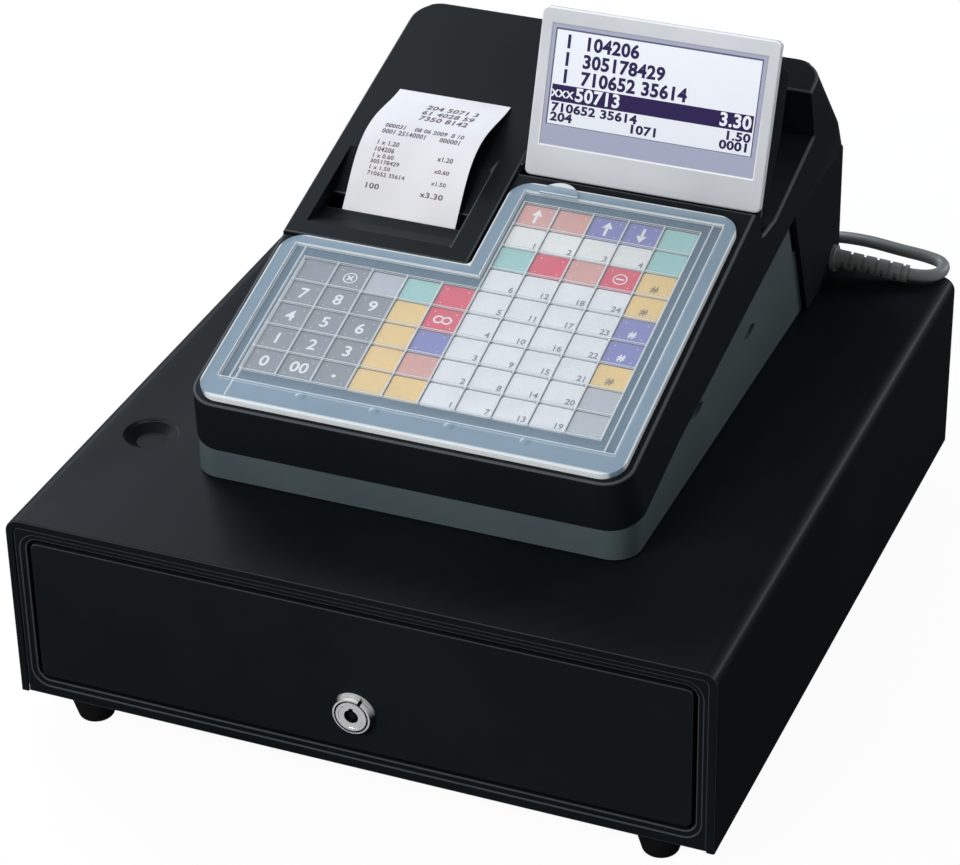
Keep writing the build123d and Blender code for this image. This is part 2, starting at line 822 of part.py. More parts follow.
def case_form(inset, top_n, drop):
    """The upper case as one solid, its walls moved in by inset and its top at top_n."""
    half = half_at(top_n, inset)
    t0 = deck_front_t + inset + top_n * flare
    t1 = cabinet_d
    plan = Pos(0, (t0 + t1) / 2, top_n) * RectangleRounded(2 * half, t1 - t0, case_front_r - inset)
    body = on_deck(extrude(plan, amount=-cabinet_d / 3, taper=-case_flare))
    rear = rear_line(inset)
    keep = seam_line(drop)
    if drop:
        keep.append((rear[-2][0], seam_back_z - drop))
    keep += rear[::-1][1:] + [(-reach, reach)]
    body = body & prism_x(keep, -reach, reach)
    edges = [e for e in body.edges() if is_rear_corner(e, inset)]
    wide = back_half_w - inset
    return fillet(edges, case_back_r - inset) & block(-wide, wide, -reach, reach, 0, reach)


def is_rear_corner(edge, inset):
    a, b = edge @ 0, edge @ 1
    y = min(a.Y, b.Y)
    level = abs(abs(a.X) - abs(b.X)) < 6 and abs(a.Z - b.Z) > 5
    return y > hump_edge_y - inset - 3 and min(abs(a.X), abs(b.X)) > deck_half_w - 12 and level


def keyboard_step(inset):
    """What the lower keyboard deck takes off the form, down to -inset."""
    side = inset if inset else 0.0
    cut = deck_block(-reach, reach, -reach, cover_front_t + side, -inset, reach)
    t1 = deck_point_t(pocket_path[0]) + 4
    return cut + deck_block(cover_right_x - side, reach, -reach, t1, -inset, reach)


def deck_point_t(point):
    y, z = point
    return (y - deck_y) * cos(slope) + (z - deck_z0) * sin(slope)


def case_skin():
    outer = case_form(0, hump_rise, 0) - keyboard_step(0)
    inner = case_form(case_wall, hump_rise - case_wall, 6.0) - keyboard_step(case_wall)
    return outer, inner


def window_plan(margin, corner=0.0):
    """The L-shaped outline of the keyboard in deck coordinates."""
    w = wet_half_w - margin
    points = [(-w, wet_front_t + margin), (w, wet_front_t + margin), (w, wet_right_t - margin),
              (wet_inner_x + margin, wet_right_t - margin), (wet_inner_x + margin, wet_left_t - margin),
              (-w, wet_left_t - margin)]
    plan = Sketch() + Face(Wire.make_polygon([Vector(x, t, 0) for x, t in points]))
    if not corner:
        return plan
    notch_at = (points[4][0], points[4][1], 0)
    plan = fillet(plan.vertices().sort_by_distance(notch_at)[1:], corner)
    return fillet(plan.vertices().sort_by_distance(notch_at)[0], wet_inner_r)


def window_slab(margin, n0, n1, corner=0.0):
    return on_deck(extrude(Pos(0, 0, n0) * window_plan(margin, corner), amount=n1 - n0))


def lid_region(gap):
    """Where the printer cover is cut from the upper case; gap moves its borders in."""
    return deck_block(-reach, cover_right_x - gap, cover_front_t + gap, reach, -cover_down + gap, reach)


def pocket_prism(grow, x0, x1):
    a, b, c, d = pocket_path
    points = [(a[0], reach), a, b, c, d, (d[0], reach)]
    return prism_x(shift_path(points, -grow) if grow else points, x0, x1)


def hinge_axis():
    a = (hump_edge_y, deck_height(hump_edge_y, hump_rise))
    b = (hump_break_y, hump_break_z)
    length = hypot(b[0] - a[0], b[1] - a[1])
    k = hinge_down / length
    return a[0] + (b[0] - a[0]) * k, a[1] + (b[1] - a[1]) * k


def knuckles(of_lid):
    xs = []
    for s, x in ((1, hinge_x0), (-1, hinge_x1)):
        near = x + s * (hinge_len + 0.3) if of_lid else x
        xs.append(tuple(sorted((near, near + s * hinge_len))))
    return xs


def boss_places():
    return [(sx * boss_x, y) for sx in (-1, 1) for y in (boss_front_y, boss_back_y)]


def screw_boss(x, y):
    """A boss for a case screw, with the rib that holds it to the side wall."""
    x0, x1 = sorted((x, copysign(back_half_w, x)))
    rib = block(x0, x1, y - boss_rib / 2, y + boss_rib / 2, seam_back_z + 0.5, reach)
    return rib + rod_z(x, y, boss_z, reach, boss_r)


def upper_case():
    outer, inner = case_skin()
    body = outer - inner
    pocket = pocket_prism(0, pocket_x0, reach + 1)
    body += outer & (pocket_prism(case_wall, pocket_x0 - case_wall, reach) - pocket)
    body -= pocket
    for x, y in boss_places():
        low = rod_z(x, y, boss_z, min(seam_back_z, deck_height(y) - case_wall) + 1.0, boss_r)
        body += screw_boss(x, y) & (outer + low)
    body -= window_slab(window_margin, -9, 9, 4)
    body -= lid_region(0) & outer
    y, z = hinge_axis()
    for x0, x1 in knuckles(True):
        body -= rod_x(x0 - 0.3, x1 + 0.3, y, z, hinge_r + 0.35)
    for x0, x1 in knuckles(False):
        body += rod_x(x0, x1, y, z, hinge_r)
    body -= rod_x(hinge_x0 - 1, hinge_x1 + 1, y, z, hinge_pin_r)
    for x in lug_places():
        body += display_lug(x)
    for x, y in boss_places():
        body -= rod_z(x, y, boss_z - 1, boss_z + 9, case_screw_r)
    return body


def lug_places():
    return (display_x0 + lug_inset, display_x1 - lug_inset)


def display_lug(x):
    half = lug_w / 2
    base = pocket_path[1][1]
    body = rod_x(x - half, x + half, pivot_y, pivot_z, lug_r)
    body += block(x - half, x + half, pivot_y - lug_r, pivot_y + lug_r, base - 1.0, pivot_z)
    return body - rod_x(x - half - 1, x + half + 1, pivot_y, pivot_z, pivot_pin_r)


def trough_points(grow):
    a, b = trough_t0, slot_t0
    c, d = slot_t1, trough_t1
    n = hump_rise - trough_depth
    path = [(a - 6, hump_rise + 3), (a, hump_rise), (a + 0.55 * (b - a), n + 2.0), (b, n),
            (c, n), (d, hump_rise), (d + 6, hump_rise + 3)]
    return shift_path(path, -grow) if grow else path


def trough_prism(grow, x0, x1):
    face = Face(Wire.make_polygon([Vector(x0, t, n) for t, n in trough_points(grow)]))
    return on_deck(extrude(face, amount=x1 - x0, dir=(1, 0, 0)))


def printer_cover():
    outer, inner = case_skin()
    region = lid_region(cover_seam)
    body = (outer & region) - inner
    x1 = cover_right_x - cover_seam
    t0 = cover_front_t + cover_seam
    skirts = deck_block(-reach, 0, t0, t0 + cover_skin, -cover_skirt, hump_rise)
    skirts += deck_block(x1 - cover_skin, x1, t0, hump_edge, -cover_skirt, hump_rise)
    body += skirts & outer & region
    flat = deck_block(-reach, reach, -reach, reach, -reach, hump_rise - 0.01)
    body += trough_prism(2.0, trough_x0 - 2.0, trough_x1 + 2.0) & flat & outer
    body -= trough_prism(0, trough_x0, trough_x1)
    body -= deck_block(trough_x0, trough_x1, slot_t0, slot_t1, -trough_depth - cover_down, hump_rise + 1)
    y, z = hinge_axis()
    for x0, x1 in knuckles(False):
        body -= rod_x(x0 - 0.3, x1 + 0.3, y, z, hinge_r + 0.35)
    for x0, x1 in knuckles(True):
        body += rod_x(x0, x1, y, z, hinge_r)
    body -= rod_x(hinge_x0 - 9, hinge_x1 + 9, y, z, hinge_pin_r + running)
    return body


def cover_hinge_pin():
    y, z = hinge_axis()
    return rod_x(hinge_x0, hinge_x1, y, z, hinge_pin_r)


def base_form(inset, z0, z1, side_inset=0.0):
    half = base_half_w - inset - side_inset
    return soft_block(-half, half, base_front_y + inset + side_inset, base_back_y - inset, z0, z1,
                      base_front_r - inset)


def base_top(rise):
    line = seam_line(-rise)
    a, b = line[1], line[2]
    end = (b[0] - 3.0, b[1] - 3.0 * (b[1] - a[1]) / (b[0] - a[0]))
    low = seam_bend_z + 9.0
    return [line[0], a, end, (b[0] + 6.0, low), (base_back_y + 9, low)]


def under(path):
    return prism_x(path + [(path[-1][0], foot_h), (path[0][0], foot_h)], -reach, reach)


def lower_case():
    z0 = base_z
    lip = base_lip
    body = (base_form(0, z0, reach) & under(base_top(-shell_gap)))
    body += base_form(0, z0, reach, lip) & under(base_top(4.0))
    body -= base_form(base_wall, base_floor_z, reach + 1, lip)
    for s in (-1, 1):
        for y, z in notch_places:
            place = Pos(s * base_half_w, deck_y + y, cabinet_top + z)
            body -= place * Rot(0, 90, 0) * Rot(0, 0, 90) * notch()
    for x, y in boss_places():
        body += rod_z(x, y, z0 + 1, boss_z, boss_r)
        body -= rod_z(x, y, z0 - 1, boss_z + 1, case_screw_r + 0.1)
        body -= rod_z(x, y, z0 - 1, z0 + 4, case_screw_head_r + 0.3)
    body -= rod_x(base_half_w - 9, base_half_w + 9, cord_exit_y, cord_exit_z, cord_hole_r + 1.0)
    for x, y in pad_places():
        body += rod_z(x, y, cabinet_top, z0 + 0.5, 7.0)
    for x, y in board_posts():
        body += rod_z(x, y, z0 + 1, board_z, 3.0)
    return body


def notch():
    a = notch_len / 2
    r = (a * a + notch_h * notch_h / 4) / notch_h
    d = r - notch_h / 2
    lens = (Pos(0, d, 0) * Cylinder(r, 3.2)) & (Pos(0, -d, 0) * Cylinder(r, 3.2))
    return lens


def pad_places():
    x = base_half_w - 22.0
    return [(sx * x, y) for sx in (-1, 1) for y in (base_front_y + 26, base_back_y - 22)]


def board_posts():
    return [(x, y) for x in (board_x0 + 6, board_x1 - 6) for y in (board_y0 + 5, board_y1 - 5)]


def case_screws():
    z0 = base_z
    parts = []
    for x, y in boss_places():
        head = rod_z(x, y, z0 + 1.4, z0 + 4, case_screw_head_r)
        parts.append(head + rod_z(x, y, z0 + 3.8, boss_z + 8, case_screw_r))
    return parts


def rear_housing():
    z0 = base_z
    half = back_half_w
    outer = soft_block(-half, half, seam_bend_y, back_y, z0, seam_back_z, back_corner_r)
    w = case_wall
    z1 = seam_back_z + 1
    inner = soft_block(w - half, half - w, seam_bend_y - 30, back_y - w, z0 - 1, z1, back_corner_r - w)
    front = [(-reach, reach), (-reach, 0), (back_foot_y - 0.2, 0), (back_foot_y, z0),
             (seam_back_y, seam_back_z), (seam_back_y, reach)]
    body = outer - inner - prism_x(front, -reach, reach)
    for k in range(vent_count):
        x = vent_x0 + k * vent_pitch
        body -= block(x, x + vent_pitch / 2, back_y - 9, back_y + 9, vent_z0, vent_z0 + vent_h)
    body -= rod_x(half - 9, half + 9, cord_exit_y, cord_exit_z, cord_hole_r)
    return body


# ---------------------------------------------------------------- keyboard
def key_cells():
    cells = []
    for i in range(key_columns):
        left = i < key_left_columns
        rows = key_left_rows if left else key_rows
        for j in range(rows):
            t = key_t_top - (j + key_rows - rows) * key_pitch_t
            if left:
                cells.append((key_x0 + i * key_pitch_left, t, key_pitch_left))
            else:
                cells.append((key_split_x + (i - key_left_columns) * key_pitch_right, t, key_pitch_right))
    return cells


def key_field(grow, n0, n1):
    """The sunk field round the keys; grow moves its borders out."""
    x1 = wet_half_w - field_side + grow
    x0 = wet_inner_x + field_side - grow
    t0 = wet_front_t + field_front - grow
    t1 = wet_right_t - field_back + grow
    body = deck_block(-x1, x1, t0, wet_left_t - field_back + grow, n0, n1)
    return body + deck_block(x0, x1, t0, t1, n0, n1)


def lift_tab():
    t0 = wet_right_t - tab_inset
    tab = on_deck(rod_z(tab_x, t0, wet_h - 0.1, wet_h + 1.0, tab_r))
    return tab & deck_block(tab_x - tab_r, tab_x + tab_r, t0 + 1.0, t0 + tab_r, 0, wet_h + 1.0)


def front_bumps():
    bumps = []
    for k in range(bump_count):
        x = bump_first - wet_half_w + k * bump_pitch
        cap = Pos(x, wet_front_t + field_front - 3.0, wet_h + bump_rise - bump_r) * Sphere(bump_r)
        bumps.append(on_deck(cap) & deck_block(x - bump_r, x + bump_r, -reach, 0, wet_h - 0.4, wet_h + 1.0))
    return bumps


def keyboard_cover():
    """One moulded skin: a rim, a sunk field and a shallow pocket over each key."""
    low = wet_h - wet_skin
    body = window_slab(0, 0, wet_h, wet_corner) - key_field(0, wet_h - field_drop, wet_h + 1)
    hollow = window_slab(wet_skin, -1, low, wet_corner - wet_skin)
    body -= hollow - key_field(wet_skin, low - field_drop, low + 1)
    g = key_gap
    top = wet_h - field_drop
    for x, t, wide in key_cells():
        body -= deck_block(x + g, x + wide - g, t - key_pitch_t + g, t - g, top - key_drop, top + 6)
    return body + lift_tab() + front_bumps()


def keyboard_plate():
    body = window_slab(window_margin - 4.5, -case_wall - sheet, -case_wall)
    for x, y in boss_places():
        body -= rod_z(x, y, boss_z, reach, boss_r + 0.4)
    return body


def membrane_pad():
    return window_slab(window_margin + shell_gap, -case_wall, pad_n, window_r)


def key_sheet():
    return window_slab(window_margin + shell_gap, pad_n, sheet_n, window_r)


def main_board():
    return block(board_x0, board_x1, board_y0, board_y1, board_z, board_z + board_t)


def board_components():
    x, y, z = board_x0, board_y0, board_z + board_t
    chips = [(26, 38, 22, 22, 3.0), (60, 34, 14, 14, 2.4), (60, 58, 28, 12, 3.2), (8, 18, 10, 40, 8.0)]
    parts = [block(x + a, x + a + w, y + b, y + b + d, z, z + h) for a, b, w, d, h in chips]
    parts.append(block(board_x1 - 28, board_x1 - 6, y + 18, y + 30, z, z + 9))
    parts += [rod_z(board_x1 - 40 + 12 * k, board_y1 - 20, z, z + 14, 5) for k in range(3)]
    parts.append(rod_z(x + 36, board_y1 - 24, z, z + 4, 10))
    return parts


def power_supply():
    z = base_floor_z
    x1 = base_half_w - 18.0
    y1 = base_back_y - 10.0
    core = block(x1 - 48, x1, y1 - 46, y1 - 6, z, z + 34)
    coil = block(x1 - 42, x1 - 6, y1 - 52, y1, z + 6, z + 28)
    feet = block(x1 - 56, x1 + 5, y1 - 34, y1 - 18, z, z + 2)
    return core + coil + feet


# ---------------------------------------------------------------- printer
def tangent_angle(c0, r0, c1, r1):
    """Angle from either centre to where one line touches both circles."""
    dy, dz = c1[0] - c0[0], c1[1] - c0[1]
    return atan2(dz, dy) + acos((r0 - r1) / hypot(dy, dz))


def web_path():
    """The paper from the foot of the roll, round the platen and up to the slot."""
    c0, r0 = (roll_y, roll_z), roll_r + 0.45
    c1, r1 = (platen_y, platen_z), platen_r + web_gap + paper_t / 2
    a = tangent_angle(c0, r0, c1, r1)
    points = [(c0[0] + r0 * cos(a + k), c0[1] + r0 * sin(a + k)) for k in (0.1, 0.0)]
    end = pi - 0.12
    angles = [a + (-(a - end)) * k / 8 for k in range(9)]
    points += [(c1[0] + r1 * cos(b), c1[1] + r1 * sin(b)) for b in angles]
    slot = deck_point(0, slot_t0 + 0.9, hump_rise - trough_depth - 4.2)
    return points + [slot[1:]]


def ribbon(path, thick, x0, x1):
    return prism_x(shift_path(path, thick / 2) + shift_path(path, -thick / 2)[::-1], x0, x1)


def paper_web():
    return ribbon(web_path(), paper_t, paper_x - paper_w / 2, paper_x + paper_w / 2)


def receipt_slip():
    top = Spline([Vector(paper_x - paper_w / 2, y, z) for y, z in slip_path])
    low = Spline([Vector(paper_x - paper_w / 2, y, z) for y, z in shift_path(slip_path, -paper_t)])
    wire = Wire([top, Line(top @ 1, low @ 1), low, Line(low @ 0, top @ 0)])
    return extrude(Face(wire), amount=paper_w, dir=(1, 0, 0))


def tear_bar():
    n1 = hump_rise - trough_depth - 2.0
    n0 = n1 - 0.6
    x0, x1 = trough_x0 + 4.0, trough_x1 - 4.0
    count = 44
    points = [(x0, slot_t0 - 4), (x1, slot_t0 - 4)]
    step = (x1 - x0) / count
    for k in range(count, -1, -1):
        points.append((x0 + k * step, slot_t0 - 0.5))
        if k:
            points.append((x0 + (k - 0.5) * step, slot_t0 + 0.6))
    return on_deck(prism_z(points, n0, n1))


def paper_roll():
    x0, x1 = paper_x - paper_w / 2, paper_x + paper_w / 2
    return rod_x(x0, x1, roll_y, roll_z, roll_r) - rod_x(x0 - 1, x1 + 1, roll_y, roll_z, roll_core_r)


def roll_core():
    x0, x1 = paper_x - paper_w / 2, paper_x + paper_w / 2
    body = rod_x(x0 + 0.5, x1 - 0.5, roll_y, roll_z, roll_core_r)
    return body - rod_x(x0 - 1, x1 + 1, roll_y, roll_z, roll_core_r - 2.0)


def paper_bucket():
    x0, x1 = plate_x0, plate_x1
    r = roll_r + bucket_room
    zc = roll_z - roll_r - 0.3 + r
    z0 = base_floor_z
    body = rod_x(x0, x1, roll_y, zc, r + 2.0) + block(x0, x1, roll_y - 25, roll_y + 25, z0, zc - 10)
    body &= block(x0, x1, roll_y - 60, roll_y + 60, z0, zc + 8)
    body -= rod_x(x0 + 1.6, x1 - 1.6, roll_y, zc, r)
    body -= block(x0 + 1.6, x1 - 1.6, roll_y - r, roll_y + r, zc, zc + 60)
    web = web_path()
    a, b = web[1], web[2]
    cut = [(a[0], a[1] - 1.2), (b[0], b[1] - 1.2), (b[0], b[1] + 40), (a[0], a[1] + 40)]
    return body - prism_x(cut, x0 + 1.6, x1 - 1.6)


def idler_place():
    r0 = gear_module * (platen_teeth + idler_teeth) / 2
    r1 = gear_module * (pinion_teeth + idler_teeth) / 2
    dy, dz = motor_y - platen_y, motor_z - platen_z
    d = hypot(dy, dz)
    a = (r0 * r0 - r1 * r1 + d * d) / (2 * d)
    h = sqrt(r0 * r0 - a * a)
    return platen_y + (a * dy - h * dz) / d, platen_z + (a * dz + h * dy) / d


def frame_span():
    return platen_y - 13.5, roll_y - roll_r - bucket_room - 3.0


def frame_plate(x0, x1):
    y0, y1 = frame_span()
    high = platen_z + 10.0
    points = [(y0, base_floor_z), (y1, base_floor_z), (y1, high - 22), (y0 + 28, high), (y0, high)]
    return prism_x(points, x0, x1)


def printer_frame():
    z0 = base_floor_z
    w = plate_t
    y0, y1 = frame_span()
    body = frame_plate(plate_x0, plate_x0 + w) + frame_plate(plate_x1 - w, plate_x1)
    body += block(plate_x0, plate_x1, y0, y1, z0, z0 + w)
    y, z = idler_place()
    body += rod_x(plate_x1 - w, plate_x1 + gear_w + 1.6, y, z, 1.5)
    body += rod_x(plate_x1 + gear_w + 0.8, plate_x1 + gear_w + 1.6, y, z, 2.6)
    body -= rod_x(plate_x0 - 1, plate_x1 + 1, platen_y, platen_z, shaft_r + running)
    return body - rod_x(plate_x1 - w - 1, plate_x1 + 1, motor_y, motor_z, 3.0)


def thermal_head():
    y1 = platen_y - platen_r - web_gap - paper_t - 0.3
    return block(plate_x0 + plate_t, plate_x1 - plate_t, y1 - 4, y1, platen_z - 7, platen_z + 5)


def motor():
    x1 = plate_x1 - plate_t
    body = rod_x(x1 - 30, x1, motor_y, motor_z, motor_r)
    return body - rod_x(x1 - 5, x1 + 1, motor_y, motor_z, motor_shaft_r + running)


def gear_points(teeth, y, z, phase):
    """Outline of an involute gear, its first tooth at the angle phase."""
    m = gear_module
    alpha = radians(25.0)
    rp = m * teeth / 2
    rb = rp * cos(alpha)
    ra = rp + 0.85 * m
    rf = rp - 1.1 * m
    inv = tan(alpha) - alpha
    half = pi / (2 * teeth) - 0.045 / rp
    radii = [max(rf + 0.02, rb), rp, ra]
    points = []
    for k in range(teeth):
        c = phase + 2 * pi * k / teeth
        side = []
        for r in radii:
            t = acos(min(1.0, rb / r))
            side.append((r, half + inv - (tan(t) - t)))
        flank = [(rf, side[0][1])] + side
        for r, a in flank:
            points.append((y + r * cos(c - a), z + r * sin(c - a)))
        for r, a in flank[::-1]:
            points.append((y + r * cos(c + a), z + r * sin(c + a)))
    return points


def gear(teeth, y, z, phase, bore):
    x0 = plate_x1 + 0.5
    body = prism_x(gear_points(teeth, y, z, phase), x0, x0 + gear_w)
    return body - rod_x(x0 - 1, x0 + gear_w + 1, y, z, bore)


def gear_phases():
    iy, iz = idler_place()
    a = atan2(iz - platen_z, iy - platen_y)
    b = atan2(motor_z - iz, motor_y - iy)
    step = 2 * pi / idler_teeth
    idler = a + pi + step / 2
    off = ((b - idler) / step) % 1.0
    pinion = b + pi + (off - 0.5) * 2 * pi / pinion_teeth
    return a, idler, pinion


def platen_gear():
    return gear(platen_teeth, platen_y, platen_z, gear_phases()[0], shaft_r)


def platen_shaft():
    return rod_x(plate_x0 - 2, plate_x1 + 0.5 + gear_w + 1, platen_y, platen_z, shaft_r)


def platen_roller():
    x0, x1 = paper_x - paper_w / 2 - 0.5, paper_x + paper_w / 2 + 0.5
    return rod_x(x0, x1, platen_y, platen_z, platen_r) - rod_x(x0 - 1, x1 + 1, platen_y, platen_z, shaft_r)


def idler_gear():
    y, z = idler_place()
    return gear(idler_teeth, y, z, gear_phases()[1], 1.5 + running)


def motor_pinion():
    x0 = plate_x1 + 0.5
    body = gear(pinion_teeth, motor_y, motor_z, gear_phases()[2], motor_shaft_r - 0.2)
    return body + rod_x(plate_x1 - plate_t - 4.5, x0 + gear_w + 0.5, motor_y, motor_z, motor_shaft_r)


# ---------------------------------------------------------------- display
def display_bezel():
    f = display_face
    x0, x1, y0, y1 = display_x0, display_x1, display_low, display_high
    body = on_screen(soft_block(x0, x1, y0, y1, f - bezel_t, f, 3.0))
    return body - on_screen(block(lens_x0, lens_x1, lens_low, lens_high, f - bezel_t - 1, f + 1))


def display_lens():
    f = display_face
    return on_screen(block(lens_x0, lens_x1, lens_low, lens_high, f - bezel_t + 0.6, f - 0.5))


def lcd_panel():
    f = display_face - bezel_t
    x0, x1 = lens_x0 + 1.0, lens_x1 - 1.0
    return on_screen(block(x0, x1, lens_low + 3.0, lens_high - 1.0, f - body_lip + 2.0, f + 0.6))


def display_body():
    f = display_face - bezel_t
    g = body_inset
    x0, x1 = display_x0 + g, display_x1 - g
    y0, y1 = display_low + g, display_low + body_high
    y2 = display_high - g
    low = f - body_lip
    points = [(y0, f), (-4.5, 5.0), (-barrel_r, 0.0), (-4.5, -6.0), (9.0, -7.4), (34.0, -body_back),
              (y1 - 7, -body_back), (y1 - 3, 4 - body_back), (y1, low), (y2 - 1, low), (y2, low + 1), (y2, f)]
    inner = [(y0 + 5, f + 1), (11.0, -4.5), (34.0, 2 - body_back), (y1 - 8, 2 - body_back),
             (y1 - 2, low + 2), (y2 - 2, low + 2), (y2 - 2, f + 1)]
    body = prism_x(points, x0, x1) + rod_x(x0, x1, 0, 0, barrel_r)
    body -= prism_x(inner, x0 + 2, x1 - 2)
    body -= rod_x(x0 - 1, x1 + 1, 0, 0, pivot_pin_r + running)
    for x in lug_places():
        half = lug_w / 2 + 0.4
        body -= block(x - half, x + half, -20, lug_r + 1.6, -20, lug_r + 1.6)
    return on_screen(body)


def display_hinge_pin():
    g = body_inset
    return rod_x(display_x0 + g + 0.5, display_x1 - g - 0.5, pivot_y, pivot_z, pivot_pin_r)


# ---------------------------------------------------------------- mains cord
def cord_start():
    """Where the cord's tube begins inside its sleeve, and its direction there."""
    a, b = Vector(*cord_points[0]), Vector(*cord_points[1])
    along = (b - a).normalized()
    return a - along * relief_grip, along


def strain_relief():
    """Ribbed tapered sleeve that turns with the cord out of the case wall."""
    x = back_half_w
    a = Vector(x, cord_exit_y, cord_exit_z)
    start, along = cord_start()
    b = Vector(*cord_points[0])
    length = (b - a).length
    body = Pos(0, 0, length / 2) * Cone(relief_r, relief_end_r, length)
    pitch = (length - 3.4) / (relief_slots + 0.5)
    for k in range(relief_slots):
        z = 3.4 + (k + 0.5) * pitch
        slot = block(-1.5, 9, -9, 9, z, z + relief_slot) - rod_z(0, 0, -length, 2 * length, relief_tube_r)
        body -= Rot(0, 0, 180 * (k % 2) + 180) * slot
    body = Plane(origin=a, x_dir=(0, 0, 1), z_dir=b - a).location * body
    body -= block(x - 20, x, -reach, reach, 0, reach)
    body += rod_x(x, x + 2.0, cord_exit_y, cord_exit_z, relief_r + 1.6)
    body += rod_x(x - case_wall - 1.5, x + 1.0, cord_exit_y, cord_exit_z, cord_hole_r)
    bore = Pos(0, 0, relief_grip) * Cylinder(cord_d / 2, 2 * relief_grip)
    return body - Plane(origin=start, z_dir=along).location * bore


def corner_radii(points):
    radii = []
    for p, q, r in zip(points, points[1:], points[2:]):
        u, v = q - p, r - q
        radii.append(0.45 * min(u.length, v.length) / tan(radians(u.get_angle(v)) / 2))
    return radii


def cord_lead():
    points = [Vector(*p) for p in cord_points]
    radii = corner_radii(points)
    points[0] = cord_start()[0]
    path = FilletPolyline(*points, radius=radii)
    return sweep(Plane(origin=points[0], z_dir=path % 0) * Circle(cord_d / 2), path=path)


def coil_center():
    x, y, z = cord_points[-1]
    return x - coil_r, y - 3.0


def cord_coil():
    x, y = coil_center()
    r1 = coil_r + cord_d / 2 + 0.3
    r0 = coil_r - coil_turns / 2 * cord_d * 1.03 - cord_d / 2
    h = 2 * cord_d + 0.1
    ring = rod_z(x, y, 0, h, r1) - rod_z(x, y, -1, h + 1, r0)
    return fillet(ring.edges(), 2.8)


def plug():
    """Two-pin moulded plug, its lead end on the coil."""
    x, y = coil_center()
    y += coil_r
    x1 = x - plug_reach
    z = plug_h / 2
    body = soft_block(x1 - plug_len, x1, y - plug_w / 2, y + plug_w / 2, 0, plug_h, 4.0)
    body = fillet(body.edges().filter_by(Axis.Z, reverse=True), 2.0)
    neck = Pos(x1 + plug_neck / 2 - 0.5, y, z) * Rot(0, 90, 0) * Cone(5.5, cord_d / 2 + 0.8, plug_neck + 1)
    body += neck
    x0 = x1 - plug_len
    for s in (-1, 1):
        pin = rod_x(x0 - plug_pin_len, x0 + 2, y + s * plug_pin_pitch / 2, z, plug_pin_r)
        body += fillet(pin.edges().sort_by(Axis.X)[0], 1.0)
    return body


# ---------------------------------------------------------------- nodes
def nodes():
    rail = rail_right()
    runner = runner_right()
    front_roller = roller(front_roller_y)
    back_roller = roller(back_roller_y)
    made = {
        "cabinet_cover": cabinet_cover(),
        "cabinet_base": cabinet_base(),
        "front_frame": front_frame(),
        "rubber_feet": rubber_feet(),
        "screws": foot_screws() + case_screws(),
        "rails": [rail, mirrored(rail)],
        "rollers_front": [front_roller, mirrored(front_roller)],
        "drawer_front": drawer_front(),
        "drawer_box": drawer_box(),
        "runners": [runner, mirrored(runner)],
        "rollers_back": [back_roller, mirrored(back_roller)],
        "till_tray": till_tray(),
        "clip_rod": clip_rod(),
        "lock_body": lock_body(),
        "lock_nut": lock_nut(),
        "lock_plug": lock_plug(),
        "lock_cam": lock_cam(),
        "catch": catch(),
        "latch_bracket": latch_bracket(),
        "latch_hook": latch_hook(),
        "solenoid_body": solenoid_body(),
        "solenoid_plunger": solenoid_plunger(),
        "ejector_spring": ejector_spring(),
        "lower_case": lower_case(),
        "rear_housing": rear_housing(),
        "upper_case": upper_case(),
        "keyboard_plate": keyboard_plate(),
        "membrane_pad": membrane_pad(),
        "key_sheet": key_sheet(),
        "keyboard_cover": keyboard_cover(),
        "main_board": main_board(),
        "board_components": board_components(),
        "power_supply": power_supply(),
        "printer_cover": printer_cover(),
        "tear_bar": tear_bar(),
        "receipt_slip": receipt_slip(),
        "paper_web": paper_web(),
        "paper_bucket": paper_bucket(),
        "paper_roll": paper_roll(),
        "roll_core": roll_core(),
        "printer_frame": printer_frame(),
        "thermal_head": thermal_head(),
        "motor": motor(),
        "motor_pinion": motor_pinion(),
        "idler_gear": idler_gear(),
        "platen_roller": platen_roller(),
        "platen_shaft": platen_shaft() + platen_gear(),
        "display_bezel": display_bezel(),
        "display_lens": display_lens(),
        "lcd_panel": lcd_panel(),
        "display_body": display_body(),
        "hinge_pins": [display_hinge_pin(), cover_hinge_pin()],
        "strain_relief": strain_relief(),
        "cord_lead": cord_lead(),
        "cord_coil": cord_coil(),
        "plug": plug(),
    }
    for i in range(bill_count):
        made["bill_clip_%d" % (i + 1)] = bill_clip(i)
    return made


os.makedirs("parts", exist_ok=True)
for name, shape in nodes().items():
    if isinstance(shape, list):
        shape = Compound(children=[s.solid() for s in shape])
    export_step(shape, "parts/%s.step" % name)
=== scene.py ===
# Ticket register on its cash drawer: camera, light, finishes and the pieces that the solids leave
# out. Metres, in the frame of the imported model: +Z up, -Y towards the clerk, +X to their right.
from bisect import bisect_right
from math import cos, hypot, pi, radians, sin

import bmesh
import bpy
from mathutils import Matrix, Quaternion, Vector
from mathutils.bvhtree import BVHTree


